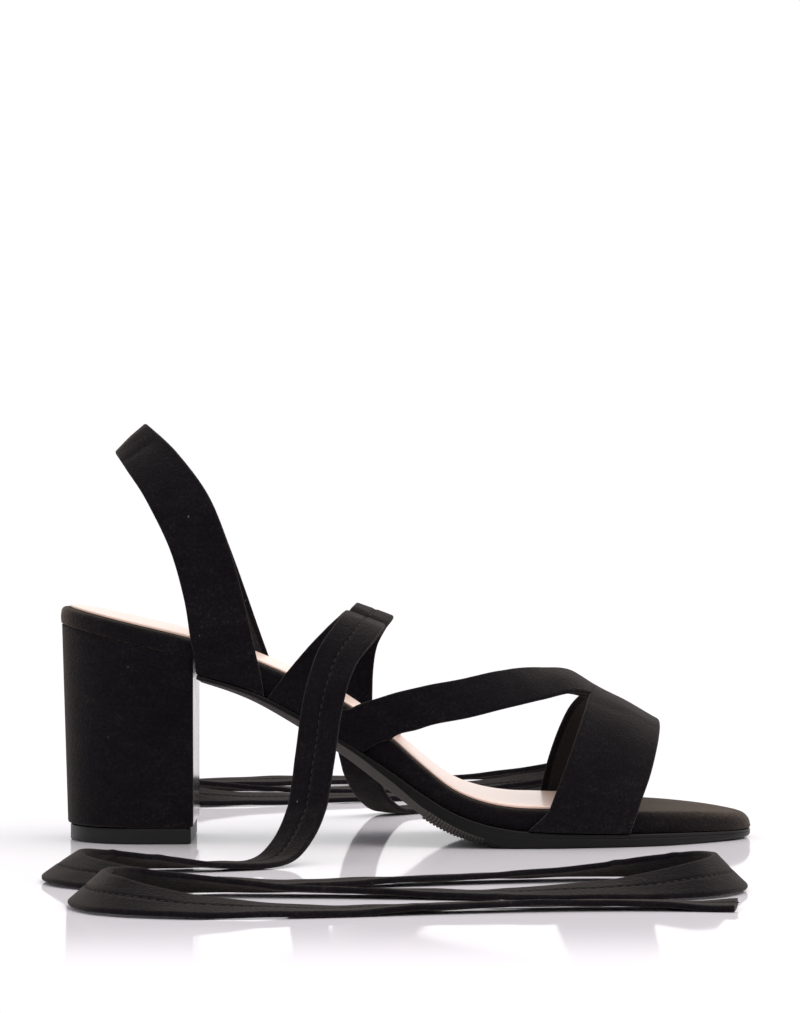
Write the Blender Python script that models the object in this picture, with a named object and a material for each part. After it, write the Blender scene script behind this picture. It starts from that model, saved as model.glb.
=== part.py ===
"""Heeled sandal with long ankle ties: one right shoe, empty, standing on its heel and forefoot.

Axes: +X to the toe, +Y to the inner side of the foot, +Z up, with the origin on the floor under
the middle of the shoe. Sizes and places are in millimetres, and put() turns them into metres.
"""

import math

import bmesh
import bpy
import numpy as np

MM = 0.001


def table(columns, *rows):
    """The named columns of a short table, each as an array."""
    return dict(zip(columns.split(), np.array(rows, float).T))


# Driving sizes
LENGTH = 230.0
HALF = LENGTH / 2
HEEL_ROUND = 26.0
TOE_ROUND = 45.0
TOE_POWER = 2.2
GAP = 0.3
STRAP_WALL = 1.8
BAND_LIFT = 0.6
SLING_LIFT = 0.2
BAND_WALL = 2.0
SOCK_WALL = 0.8
SOCK_INSET = 3.0
SOCK_FRONT = 66.0
RIM_ROUND = 2.2
RIM_STEPS = 3
TIE_WIDTH = 14.0
TIE_WALL = 1.8
TIE_STEP = 10.0

# The footbed from heel to toe: its axis, half widths to either side of it, and three heights: the
# top, the joint where platform and straps meet the outsole, and the ground side of the outsole.
FOOTBED = table(
    "x       axis  outer  inner  top    joint  ground",
    (-115.0, 0.0, 26.00, 26.00, 78.00, 65.00, 64.00),
    (-89.00, 0.0, 26.00, 26.00, 71.90, 60.60, 59.40),
    (-71.00, 0.0, 25.50, 25.50, 67.40, 56.60, 54.60),
    (-50.00, 0.0, 24.20, 23.20, 60.20, 50.30, 47.00),
    (-35.00, 0.0, 24.00, 21.60, 53.60, 42.90, 38.20),
    (-20.00, 0.0, 25.30, 21.70, 46.00, 34.00, 28.10),
    (-5.00, 0.0, 28.20, 23.50, 34.80, 24.50, 16.40),
    (5.000, 0.0, 31.40, 25.80, 26.20, 17.60, 9.200),
    (15.00, 0.0, 34.60, 28.60, 18.60, 11.80, 3.950),
    (25.00, 0.4, 37.20, 32.00, 14.60, 8.200, 1.250),
    (34.00, 0.9, 38.40, 34.20, 12.95, 6.400, 0.000),
    (44.00, 1.6, 38.90, 35.50, 12.40, 5.500, 0.000),
    (58.00, 2.8, 37.80, 34.80, 11.95, 4.900, 0.000),
    (75.00, 4.5, 35.00, 32.80, 11.40, 4.500, 0.000),
    (88.00, 5.8, 32.00, 31.00, 10.90, 4.300, 0.000),
    (100.0, 7.0, 29.00, 28.60, 10.00, 3.900, 0.200),
    (115.0, 8.0, 26.00, 26.00, 8.200, 3.400, 0.600),
)

# Height of the foot's ridge under the straps, and how far it lies to the inner side of the axis.
LAST = table(
    "x       crown",
    (-35.00, 116.0),
    (-13.00, 100.0),
    (8.000, 81.50),
    (20.00, 71.50),
    (31.00, 64.80),
    (44.00, 58.00),
    (54.50, 53.80),
    (61.00, 49.40),
    (72.00, 43.40),
    (83.00, 37.20),
    (95.00, 31.00),
)
RIDGE_SHIFT = 2.0
LAST_POWER = 2.1

# Wide band over the toes: where its back and front edges lie at each turn round the foot. A turn of
# -RIM_TURN is the joint on the outer side, 0 the footbed's outer edge, 0.5 the ridge, 1 the inner edge
# and 1 + RIM_TURN the joint on the inner side.
RIM_TURN = 0.1
BAND = table(
    "turn    back   front",
    (-0.100, 39.50, 72.40),
    (0.0000, 46.00, 74.90),
    (0.1200, 52.30, 78.90),
    (0.2500, 56.90, 81.60),
    (0.4000, 60.00, 83.30),
    (0.5000, 61.00, 83.60),
    (0.6200, 60.00, 84.00),
    (0.7800, 54.00, 83.00),
    (1.0000, 45.80, 78.00),
    (1.1000, 43.50, 77.00),
)

# Strap from the arch to the band: its upper and its lower edge, each as x and turn on the outer side.
INSTEP = table(
    "upper_x upper_turn lower_x lower_turn",
    (-32.40, -0.100, -14.50, -0.100),
    (-19.80, -0.010, -5.200, -0.002),
    (-8.000, 0.0580, 3.5000, 0.0540),
    (7.6000, 0.1580, 14.500, 0.1200),
    (31.000, 0.3120, 37.000, 0.2310),
    (46.000, 0.4250, 52.000, 0.3200),
    (57.000, 0.5200, 62.000, 0.3950),
    (66.000, 0.6000, 71.000, 0.4650),
)
# On the inner side the straps start further forward, and lie lower on the foot.
INNER_SHIFT = 2.5
INNER_TURN = 0.95

# Sling behind the ankle: its rear and its front edge, on the rim's side by x and turn, and from there
# to the middle of its back by place, with y as a distance from the middle. The front edge of the inner
# half lies inner_back further back.
SLING_ROOT = table(
    "rear_x rear_turn front_x front_turn",
    (-68.80, -0.100, -46.80, -0.100),
    (-69.80, -0.050, -47.60, -0.050),
    (-70.80, 0.0000, -48.60, 0.0000),
)
SLING = table(
    "rear_x  rear_y rear_z  front_x front_y front_z inner_back",
    (-72.70, 28.30, 80.40, -51.90, 28.60, 75.40, 0.400),
    (-77.40, 28.50, 97.00, -57.10, 30.00, 95.20, 2.400),
    (-85.20, 24.50, 112.4, -64.30, 27.00, 113.5, 2.600),
    (-92.60, 13.50, 122.8, -75.50, 16.50, 128.2, 1.600),
    (-96.00, 0.000, 127.4, -85.70, 0.000, 137.2, 0.000),
)

# Heel block under the seat
STEP_X = -69.8
STEP_RUN = 0.8
BREAST_X = STEP_X - GAP
SEAT_BACK = 72.0
SEAT_BREAST = 61.2
HEEL_INSET = 0.2
HEEL_BACK_LEAN = 2.0
HEEL_TAPER = 0.92
HEEL_EDGE = 1.0
TIP_HEIGHT = 5.3
TIP_INSET = 0.9
TIP_EDGE = 0.6

# Outsole
OUTSOLE_BACK = -68.9
OUTSOLE_LIP = 2.4
OUTSOLE_TOE_LIP = 0.3
LIP_FADES_FROM, LIP_FADES_TO = 86.0, 106.0
RIB_FROM, RIB_TO = 5.0, 26.0
RIB_PITCH = 1.3
RIB_DEPTH = 0.2
BEVEL_MOST = 0.8
# Bevel along the outsole's lower edge, wide at the waist: its height and how far it runs in
BEVEL = table(
    "x       rise   run",
    (-69.00, 0.600, 1.40),
    (-50.00, 1.500, 2.60),
    (-35.00, 2.600, 3.60),
    (-22.00, 3.900, 4.60),
    (-12.00, 4.700, 5.00),
    (-2.000, 4.700, 4.60),
    (6.0000, 3.700, 3.60),
    (15.000, 2.800, 2.80),
    (24.000, 1.700, 1.80),
    (32.000, 1.200, 1.20),
    (40.000, 1.200, 1.20),
    (115.00, 1.200, 1.20),
)

# Ankle ties, undone. Each leaves the joint between sling and instep strap, rises over the rim, bends
# outwards and drops to the floor, where it lies in loose turns. roll lifts its left edge, in degrees.
TIE_ROOT = table(
    "rear_x rear_turn front_x front_turn",
    (-45.60, -0.100, -33.60, -0.100),
    (-42.80, -0.050, -30.60, -0.050),
    (-40.00, 0.0000, -27.80, 0.0000),
)
TIE_DROP_OUTER = table(
    "x       y      z",
    (-31.20, -25.4, 56.00),
    (-19.80, -31.5, 68.20),
    (-13.80, -46.9, 74.70),
    (-15.90, -64.4, 72.40),
    (-22.80, -74.8, 62.50),
    (-27.00, -79.5, 47.00),
    (-29.20, -82.5, 31.00),
    (-32.00, -86.8, 15.50),
    (-38.00, -95.2, 4.800),
)
TIE_FLOOR_OUTER = table(
    "x       y       roll",
    (-46.80, -106.0, 0.0),
    (-59.00, -112.5, 4.0),
    (-75.00, -117.5, 14.0),
    (-95.50, -127.0, 28.0),
    (-104.0, -147.5, 34.0),
    (-95.50, -168.0, 28.0),
    (-75.00, -176.5, 14.0),
    (-40.00, -172.5, 2.0),
    (-4.000, -160.5, -4.0),
    (32.000, -149.5, -8.0),
    (66.000, -146.0, -22.0),
    (86.500, -154.5, -38.0),
    (95.000, -175.0, -44.0),
    (86.500, -195.5, -38.0),
    (66.000, -204.0, -20.0),
    (32.000, -203.0, -4.0),
    (-2.000, -197.0, 4.0),
    (-34.00, -193.5, 9.0),
    (-62.00, -194.0, 22.0),
    (-82.50, -202.5, 36.0),
    (-91.00, -223.0, 42.0),
    (-82.50, -243.5, 36.0),
    (-62.00, -252.0, 18.0),
    (-28.00, -249.0, 3.0),
    (8.0000, -238.5, -4.0),
    (44.000, -231.0, -6.0),
    (72.000, -230.0, -3.0),
    (92.500, -233.0, 3.0),
)
TIE_DROP_INNER = table(
    "x       y      z",
    (-28.70, 23.3, 55.00),
    (-17.30, 29.4, 67.20),
    (-11.30, 44.8, 73.70),
    (-12.60, 62.3, 71.40),
    (-17.20, 72.7, 61.50),
    (-18.80, 77.5, 46.00),
    (-18.40, 80.5, 31.00),
    (-16.00, 85.0, 15.50),
    (-10.00, 93.4, 4.800),
)
TIE_FLOOR_INNER = table(
    "x       y       roll",
    (-1.000, 104.5, 0.0),
    (12.000, 111.5, 4.0),
    (27.000, 115.5, 10.0),
    (45.000, 118.0, 22.0),
    (65.500, 126.5, 38.0),
    (74.000, 147.0, 44.0),
    (65.500, 167.5, 38.0),
    (45.000, 176.0, 20.0),
    (10.000, 170.5, 3.0),
    (-24.00, 155.0, -4.0),
    (-54.00, 141.5, -9.0),
    (-82.00, 137.0, -22.0),
    (-102.5, 145.5, -36.0),
    (-111.0, 166.0, -42.0),
    (-102.5, 186.5, -36.0),
    (-82.00, 195.0, -18.0),
    (-46.00, 197.0, -3.0),
    (-10.00, 195.5, 4.0),
    (22.000, 194.0, 9.0),
    (46.000, 196.0, 22.0),
    (66.000, 204.5, 36.0),
    (74.500, 225.0, 42.0),
    (66.000, 245.5, 36.0),
    (46.000, 254.0, 18.0),
    (10.000, 251.5, 3.0),
    (-26.00, 243.0, -4.0),
    (-62.00, 233.0, -5.0),
    (-106.0, 225.0, 2.0),
)


def through(at, values):
    """A smooth curve through rows of values, as a function: each row's slope is that of its neighbours."""
    slopes = np.gradient(values, at, axis=0)

    def value(x):
        i = int(np.clip(np.searchsorted(at, x) - 1, 0, len(at) - 2))
        step = at[i + 1] - at[i]
        t = (x - at[i]) / step
        ends = values[i] * (1 + 2 * t) * (1 - t) ** 2 + values[i + 1] * t * t * (3 - 2 * t)
        return ends + step * (slopes[i] * t * (1 - t) ** 2 - slopes[i + 1] * t * t * (1 - t))

    return value


def columns_through(rows, key=None):
    """Each column of a table as a smooth function of its key column, or of the row's number."""
    at = rows[key] if key else np.arange(len(next(iter(rows.values()))), dtype=float)
    return {name: through(at, values) for name, values in rows.items() if name != key}


footbed = columns_through(FOOTBED, "x")
last = columns_through(LAST, "x")
bevel = columns_through(BEVEL, "x")


def end_rounding(x):
    """The share of the full half width that is left at x, where the heel and the toe round off."""
    from_heel = (x + HALF) / HEEL_ROUND
    from_toe = (HALF - x) / TOE_ROUND
    if from_heel < 1:
        return math.sqrt(1 - (1 - from_heel) ** 2)
    if from_toe < 1:
        return (1 - (1 - from_toe) ** TOE_POWER) ** (1 / TOE_POWER)
    return 1.0


def edge_y(x, inset=0.0):
    """The footbed's outer and inner edge at x, moved in by inset."""
    share = end_rounding(x)
    outer = footbed["axis"](x) - footbed["outer"](x) * share + inset
    inner = footbed["axis"](x) + footbed["inner"](x) * share - inset
    return outer, inner


def round_off(distance, radius):
    """How far a rounded edge lies under its face at a distance from its side."""
    inside = max(radius - distance, 0.0)
    return radius - math.sqrt(max(radius * radius - inside * inside, 0.0))


def seat_under(x):
    """The flat underside of the heel seat."""
    share = (x + HALF) / (STEP_X + HALF)
    return SEAT_BACK + (SEAT_BREAST - SEAT_BACK) * share


def last_point(x, turn):
    """A point on the last at x, one gap outside the footbed's sides; BAND's note explains turn."""
    outer, inner = edge_y(x, -GAP)
    top, joint = footbed["top"](x), footbed["joint"](x)
    if turn <= 0:
        return np.array((x, outer, top + turn / RIM_TURN * (top - joint)))
    if turn >= 1:
        return np.array((x, inner, top + (1 - turn) / RIM_TURN * (top - joint)))
    ridge = footbed["axis"](x) + RIDGE_SHIFT
    across, up = math.cos(math.pi * turn), math.sin(math.pi * turn)
    side = outer if across > 0 else inner
    y = ridge + (side - ridge) * abs(across) ** (2 / LAST_POWER)
    return np.array((x, y, top + (last["crown"](x) - top) * up ** (2 / LAST_POWER)))


def material(name, colour, roughness):
    made = bpy.data.materials.new(name)
    made.use_nodes = True
    shader = made.node_tree.nodes["Principled BSDF"]
    shader.inputs["Base Color"].default_value = (*colour, 1.0)
    shader.inputs["Roughness"].default_value = roughness
    shader.inputs["Metallic"].default_value = 0.0
    return made


def put(name, shape, finish):
    """Makes a named object, in metres, of a bmesh in millimetres."""
    bmesh.ops.scale(shape, vec=(MM, MM, MM), verts=shape.verts)
    bmesh.ops.recalc_face_normals(shape, faces=shape.faces)
    mesh = bpy.data.meshes.new(name)
    shape.to_mesh(mesh)
    shape.free()
    mesh.materials.append(finish)
    mesh.shade_smooth()
    mesh.set_sharp_from_angle(angle=math.radians(35))
    made = bpy.data.objects.new(name, mesh)
    bpy.context.scene.collection.objects.link(made)
    return made


def loft(name, loops, finish):
    """A solid through closed loops of equally many points, closed by a face at each end."""
    shape = bmesh.new()
    rings = [[shape.verts.new(point) for point in loop] for loop in loops]
    for ring, following in zip(rings, rings[1:]):
        for i in range(len(ring)):
            j = (i + 1) % len(ring)
            shape.faces.new((ring[i], ring[j], following[j], following[i]))
    shape.faces.new(rings[0])
    shape.faces.new(rings[-1])
    return put(name, shape, finish)


def wall(name, grid, low, high, finish):
    """A solid wall between two offsets, low and high, of a grid of points, closed at its four edges."""
    grid = np.array(grid)
    normals = np.cross(np.gradient(grid, axis=1), np.gradient(grid, axis=0))
    normals /= np.linalg.norm(normals, axis=2, keepdims=True)
    shape = bmesh.new()
    sheets = [
        [[shape.verts.new(point) for point in row] for row in grid + normals * offset]
        for offset in (low, high)
    ]
    rows, columns = grid.shape[:2]
    for sheet in sheets:
        for i in range(rows - 1):
            for k in range(columns - 1):
                shape.faces.new((sheet[i][k], sheet[i][k + 1], sheet[i + 1][k + 1], sheet[i + 1][k]))
    inside, outside = sheets
    for i in range(rows - 1):
        for k in (0, columns - 1):
            shape.faces.new((inside[i][k], inside[i + 1][k], outside[i + 1][k], outside[i][k]))
    for k in range(columns - 1):
        for i in (0, rows - 1):
            shape.faces.new((inside[i][k], inside[i][k + 1], outside[i][k + 1], outside[i][k]))
    return put(name, shape, finish)


def heel_stations(count):
    """Places along the round of the heel, close together at its back."""
    return [-HALF + HEEL_ROUND * (1 - math.cos(a)) for a in np.radians(np.linspace(5, 90, count))]


def toe_stations(count):
    """Places along the round of the toe, close together at its tip."""
    return [HALF - TOE_ROUND * (1 - math.cos(a)) for a in np.radians(np.linspace(90, 5, count))]


def platform_loop(x):
    """The platform's section at x: upright sides, a rounded rim and a flat top."""
    outer, inner = edge_y(x)
    rim = min(RIM_ROUND, 0.45 * (inner - outer))
    end_drop = round_off(min(x + HALF, HALF - x), RIM_ROUND)
    top = footbed["top"](x) - end_drop
    under = seat_under(x) if x <= STEP_X else footbed["joint"](x)
    arc = [(rim * (1 - math.cos(a)), rim * (1 - math.sin(a))) for a in np.linspace(0, math.pi / 2, RIM_STEPS + 1)]
    middle = (outer + inner) / 2
    rising = [(x, outer + inward, top - drop) for inward, drop in arc]
    falling = [(x, inner - inward, top - drop) for inward, drop in reversed(arc)]
    return [(x, outer, under), *rising, (x, middle, top), *falling, (x, inner, under)]


def build_platform(finish):
    seat = heel_stations(11) + [-80.0, STEP_X]
    arch = [STEP_X + STEP_RUN, *np.linspace(-62.0, 64.0, 19)]
    return loft("platform", [platform_loop(x) for x in seat + arch + toe_stations(12)], finish)


def build_sock(finish):
    """The sock lining: a thin sheet on the platform that ends under the toe band."""
    along = heel_stations(9)[1:] + list(np.linspace(-80.0, SOCK_FRONT, 20))
    grid = []
    for x in along:
        outer, inner = edge_y(x, SOCK_INSET)
        grid.append([(x, y, footbed["top"](x) + GAP) for y in np.linspace(inner, outer, 7)])
    return wall("sock_lining", grid, 0.0, SOCK_WALL, finish)


def outsole_loop(x, cut=0.0):
    """The outsole's section at x, its ground side cut back by a rib's depth."""
    fade = np.clip((x - LIP_FADES_FROM) / (LIP_FADES_TO - LIP_FADES_FROM), 0, 1)
    lip = OUTSOLE_LIP + (OUTSOLE_TOE_LIP - OUTSOLE_LIP) * fade
    outer, inner = edge_y(x, -lip)
    top, ground = footbed["joint"](x) - GAP, max(footbed["ground"](x), 0.0) + cut
    rise = min(bevel["rise"](x), BEVEL_MOST * (top - ground))
    run = min(bevel["run"](x), 0.3 * (inner - outer))
    middle = (outer + inner) / 2
    return [
        (x, outer, top),
        (x, outer, ground + rise),
        (x, outer + run, ground),
        (x, middle, ground),
        (x, inner - run, ground),
        (x, inner, ground + rise),
        (x, inner, top),
        (x, middle, top),
    ]


def build_outsole(finish):
    shank = list(np.linspace(OUTSOLE_BACK, RIB_FROM - 2.0, 11))
    ribs = list(np.arange(RIB_FROM, RIB_TO, RIB_PITCH / 2))
    tread = [34.0, 44.0, 54.0, 64.0]
    loops = [outsole_loop(x) for x in shank]
    loops += [outsole_loop(x, RIB_DEPTH * (i % 2)) for i, x in enumerate(ribs)]
    loops += [outsole_loop(x) for x in tread + toe_stations(12)]
    return loft("outsole", loops, finish)


def heel_ring(inset, share, height):
    """A level ring round the heel block: share is 0 at its top and 1 at its foot."""
    taper = 1 + (HEEL_TAPER - 1) * share
    ring = []
    for side in (-1, 1):
        run = list(np.linspace(BREAST_X - inset, -HALF + HEEL_ROUND, 4)) + heel_stations(9)[::-1][1:]
        points = []
        for x in run:
            outer, inner = edge_y(x, HEEL_INSET + inset)
            back = max(0.0, (BREAST_X - x) / (BREAST_X + HALF))
            lean = (HEEL_BACK_LEAN * share + HEEL_INSET + inset) * back
            points.append((x + lean, (outer if side < 0 else inner) * taper))
        ring += points if side < 0 else points[::-1]
    return [(x, y, height(x)) for x, y in ring]


def build_heel(finish):
    foot = TIP_HEIGHT + GAP
    loops = [
        heel_ring(HEEL_EDGE, 1.0, lambda x: foot),
        heel_ring(0.3 * HEEL_EDGE, 1.0, lambda x: foot + 0.3 * HEEL_EDGE),
        heel_ring(0.0, 1.0, lambda x: foot + HEEL_EDGE),
        heel_ring(0.0, 0.0, lambda x: seat_under(x) - GAP),
    ]
    return loft("heel_block", loops, finish)


def build_tip(finish):
    """The rubber top piece that the heel stands on."""
    levels = [(TIP_EDGE, 0.0), (0.0, TIP_EDGE), (0.0, TIP_HEIGHT)]
    loops = [heel_ring(TIP_INSET + inset, 1.0, lambda x, z=z: z) for inset, z in levels]
    return loft("heel_top_piece", loops, finish)


def band_grid():
    band = columns_through(BAND, "turn")
    turns = [-RIM_TURN, -RIM_TURN / 2, *np.linspace(0, 1, 23), 1 + RIM_TURN / 2, 1 + RIM_TURN]
    shares = np.linspace(0, 1, 6)
    return [
        [last_point(band["back"](t) + s * (band["front"](t) - band["back"](t)), t) for s in shares]
        for t in turns
    ]


def strap_grid(rows, count, columns, inner_side=False):
    """A strap on the last between the two edges that a table gives for the outer side."""
    names = list(rows)
    edges = columns_through(rows)
    grid = []
    for row in np.linspace(0, len(rows[names[0]]) - 1, count):
        here = np.array([edges[name](row) for name in names])
        points = []
        for share in np.linspace(0, 1, columns):
            x, turn = here[:2] + share * (here[2:] - here[:2])
            if inner_side:
                x, turn = x + INNER_SHIFT, 1 - turn * (INNER_TURN if turn > 0 else 1)
            points.append(last_point(x, turn))
        grid.append(points if not inner_side else points[::-1])
    return grid


def build_upper(finish):
    """The toe band with the two instep straps joined on under it, as one solid."""
    band = wall("upper", band_grid(), BAND_LIFT, BAND_LIFT + BAND_WALL, finish)
    for number, inner_side in enumerate((False, True)):
        lift = 0.1 * number
        grid = strap_grid(INSTEP, 22, 4, inner_side)
        strap = wall(f"instep_strap_{number}", grid, lift, STRAP_WALL + lift, finish)
        strap.hide_render = True
        strap.display_type = "WIRE"
        join = band.modifiers.new(strap.name, "BOOLEAN")
        join.operation = "UNION"
        join.solver = "EXACT"
        join.object = strap
    return band


def build_sling(finish):
    """The sling: up the outer side, round the back of the ankle and down the inner side."""
    columns = 5
    outer_root, inner_root = (strap_grid(SLING_ROOT, 3, columns, side) for side in (False, True))
    rear = np.stack([SLING["rear_x"], SLING["rear_y"], SLING["rear_z"]], axis=1)
    front = np.stack([SLING["front_x"], SLING["front_y"], SLING["front_z"]], axis=1)
    inner_front = front - np.outer(SLING["inner_back"], (1, 0, 0))
    shares = np.linspace(0, 1, columns)
    outer_free, inner_free = (
        np.stack([rear + share * (edge - rear) for share in shares], axis=1) for edge in (front, inner_front)
    )
    outer = np.concatenate([outer_root, outer_free * (1, -1, 1)])
    inner = np.concatenate([np.array(inner_root)[:, ::-1], inner_free[:-1]])
    rows = np.concatenate([outer, inner[::-1]])
    at_row = through(np.arange(len(rows), dtype=float), rows)
    grid = [at_row(row) for row in np.linspace(0, len(rows) - 1, 45)]
    return wall("heel_sling", grid, SLING_LIFT, SLING_LIFT + STRAP_WALL, finish)


def tie_grid(drop, floor, inner_side):
    """A tie as rows of its two edges: its root on the rim, then its free length by centre and width."""
    root = strap_grid(TIE_ROOT, 4, 3, inner_side)
    side = 1.0 if inner_side else -1.0
    root_width = np.array(root[-1][-1]) - np.array(root[-1][0])
    root_width /= np.linalg.norm(root_width)
    hanging = np.stack([drop["x"], drop["y"], drop["z"]], axis=1)
    lying = np.stack([floor["x"], floor["y"], np.zeros(len(floor["x"]))], axis=1)
    start = np.mean(root[-1], axis=0) + (0, side * TIE_WALL / 2, 0)
    points = np.concatenate([[start], hanging, lying])
    rolls = np.concatenate([np.zeros(len(hanging) + 1), np.radians(floor["roll"])])
    along = np.concatenate([[0], np.cumsum(np.linalg.norm(np.diff(points, axis=0), axis=1))])
    centre, roll = through(along, points), through(along, rolls)
    lies_from = along[len(hanging) + 1]
    grid = [[np.array(p) + (0, side * TIE_WALL / 2, 0) for p in row] for row in root]
    for s in np.linspace(0, along[-1], round(along[-1] / TIE_STEP))[1:]:
        ahead = centre(min(s + 1, along[-1])) - centre(max(s - 1, 0))
        ahead /= np.linalg.norm(ahead)
        left = np.array((-ahead[1], ahead[0], 0.0))
        left /= np.linalg.norm(left)
        share = np.clip(s / lies_from, 0, 1)
        share = share * share * (3 - 2 * share)
        across = root_width * (1 - share) + left * share
        across -= ahead * across.dot(ahead)
        across /= np.linalg.norm(across)
        face = np.cross(ahead, across)
        across = across * math.cos(roll(s)) + face * math.sin(roll(s))
        face = np.cross(ahead, across)
        middle = centre(s)
        middle[2] = max(middle[2], GAP + abs(across[2]) * TIE_WIDTH / 2 + abs(face[2]) * TIE_WALL / 2)
        grid.append([middle + across * TIE_WIDTH * half for half in (-0.5, 0.0, 0.5)])
    return grid


def clear_scene():
    for old in list(bpy.data.objects):
        bpy.data.objects.remove(old, do_unlink=True)


def main():
    clear_scene()
    suede = material("black_suede", (0.012, 0.011, 0.012), 0.9)
    lining = material("peach_sock", (0.80, 0.52, 0.42), 0.6)
    rubber = material("black_rubber", (0.018, 0.017, 0.018), 0.5)
    build_platform(suede)
    build_sock(lining)
    build_outsole(rubber)
    build_heel(suede)
    build_tip(rubber)
    build_upper(suede)
    build_sling(suede)
    half = TIE_WALL / 2
    wall("tie_outer", tie_grid(TIE_DROP_OUTER, TIE_FLOOR_OUTER, False), -half, half, suede)
    wall("tie_inner", tie_grid(TIE_DROP_INNER, TIE_FLOOR_INNER, True), -half, half, suede)


main()
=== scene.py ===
import math

import bmesh
import bpy
import numpy as np
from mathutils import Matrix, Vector


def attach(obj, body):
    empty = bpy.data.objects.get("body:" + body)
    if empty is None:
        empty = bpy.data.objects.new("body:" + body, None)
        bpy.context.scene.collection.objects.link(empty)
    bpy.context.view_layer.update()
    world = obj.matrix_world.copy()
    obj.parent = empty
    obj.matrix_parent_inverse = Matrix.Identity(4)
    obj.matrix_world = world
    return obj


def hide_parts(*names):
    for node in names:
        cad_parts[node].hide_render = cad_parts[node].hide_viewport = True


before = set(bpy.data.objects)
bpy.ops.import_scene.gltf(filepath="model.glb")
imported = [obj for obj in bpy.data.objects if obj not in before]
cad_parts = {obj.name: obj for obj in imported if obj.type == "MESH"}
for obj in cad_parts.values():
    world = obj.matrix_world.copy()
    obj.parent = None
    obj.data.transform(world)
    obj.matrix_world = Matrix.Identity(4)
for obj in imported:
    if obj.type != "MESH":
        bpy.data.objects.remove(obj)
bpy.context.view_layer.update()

# Looks of the heeled sandal: black suede over a block heel, with a peach sock lining, a rubber sole and
# long ankle ties that lie undone on the floor. Sizes and places are in millimetres, with +X to the toe,
# +Y to the inner side of the foot and +Z up, and MM turns them into metres.

MM = 0.001
BODY = "root"


def table(columns, *rows):
    """The named columns of a short table, each as an array."""
    return dict(zip(columns.split(), np.array(rows, float).T))


# Driving sizes, as in the solids
LENGTH = 230.0
HALF = LENGTH / 2
HEEL_ROUND = 26.0
TOE_ROUND = 45.0
TOE_POWER = 2.2
GAP = 0.3
STRAP_WALL = 1.8
BAND_LIFT = 0.6
SLING_LIFT = 0.2
BAND_WALL = 2.0
SOCK_WALL = 0.8
SOCK_INSET = 3.0
SOCK_FRONT = 66.0
RIM_ROUND = 2.2
TIE_WIDTH = 14.0
TIE_WALL = 1.8
TIE_STEP = 10.0

# The footbed from heel to toe: its axis, half widths to either side of it, and three heights: the
# top, the joint where platform and straps meet the outsole, and the ground side of the outsole.
FOOTBED = table(
    "x       axis  outer  inner  top    joint  ground",
    (-115.0, 0.0, 26.00, 26.00, 78.00, 65.00, 64.00),
    (-89.00, 0.0, 26.00, 26.00, 71.90, 60.60, 59.40),
    (-71.00, 0.0, 25.50, 25.50, 67.40, 56.60, 54.60),
    (-50.00, 0.0, 24.20, 23.20, 60.20, 50.30, 47.00),
    (-35.00, 0.0, 24.00, 21.60, 53.60, 42.90, 38.20),
    (-20.00, 0.0, 25.30, 21.70, 46.00, 34.00, 28.10),
    (-5.00, 0.0, 28.20, 23.50, 34.80, 24.50, 16.40),
    (5.000, 0.0, 31.40, 25.80, 26.20, 17.60, 9.200),
    (15.00, 0.0, 34.60, 28.60, 18.60, 11.80, 3.950),
    (25.00, 0.4, 37.20, 32.00, 14.60, 8.200, 1.250),
    (34.00, 0.9, 38.40, 34.20, 12.95, 6.400, 0.000),
    (44.00, 1.6, 38.90, 35.50, 12.40, 5.500, 0.000),
    (58.00, 2.8, 37.80, 34.80, 11.95, 4.900, 0.000),
    (75.00, 4.5, 35.00, 32.80, 11.40, 4.500, 0.000),
    (88.00, 5.8, 32.00, 31.00, 10.90, 4.300, 0.000),
    (100.0, 7.0, 29.00, 28.60, 10.00, 3.900, 0.200),
    (115.0, 8.0, 26.00, 26.00, 8.200, 3.400, 0.600),
)

# Height of the foot's ridge under the straps, and how far it lies to the inner side of the axis.
LAST = table(
    "x       crown",
    (-35.00, 116.0),
    (-13.00, 100.0),
    (8.000, 81.50),
    (20.00, 71.50),
    (31.00, 64.80),
    (44.00, 58.00),
    (54.50, 53.80),
    (61.00, 49.40),
    (72.00, 43.40),
    (83.00, 37.20),
    (95.00, 31.00),
)
RIDGE_SHIFT = 2.0
LAST_POWER = 2.1

# Wide band over the toes: where its back and front edges lie at each turn round the foot. A turn of
# -RIM_TURN is the joint on the outer side, 0 the footbed's outer edge, 0.5 the ridge, 1 the inner edge
# and 1 + RIM_TURN the joint on the inner side.
RIM_TURN = 0.1
BAND = table(
    "turn    back   front",
    (-0.100, 39.50, 72.40),
    (0.0000, 46.00, 74.90),
    (0.1200, 52.30, 78.90),
    (0.2500, 56.90, 81.60),
    (0.4000, 60.00, 83.30),
    (0.5000, 61.00, 83.60),
    (0.6200, 60.00, 84.00),
    (0.7800, 54.00, 83.00),
    (1.0000, 45.80, 78.00),
    (1.1000, 43.50, 77.00),
)

# Strap from the arch to the band: its upper and its lower edge, each as x and turn on the outer side.
INSTEP = table(
    "upper_x upper_turn lower_x lower_turn",
    (-32.40, -0.100, -14.50, -0.100),
    (-19.80, -0.010, -5.200, -0.002),
    (-8.000, 0.0580, 3.5000, 0.0540),
    (7.6000, 0.1580, 14.500, 0.1200),
    (31.000, 0.3120, 37.000, 0.2310),
    (46.000, 0.4250, 52.000, 0.3200),
    (57.000, 0.5200, 62.000, 0.3950),
    (66.000, 0.6000, 71.000, 0.4650),
)
# On the inner side the straps start further forward, and lie lower on the foot and a little off it.
INNER_SHIFT = 2.5
INNER_TURN = 0.95
INNER_LIFT = 0.1
# Under the band the outer strap passes over the inner one.
CROSSING_FROM, CROSSING_TO = 4.6, 5.8
CROSSING_LIFT = 0.8
CROSSING_WALL = 1.5

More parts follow.
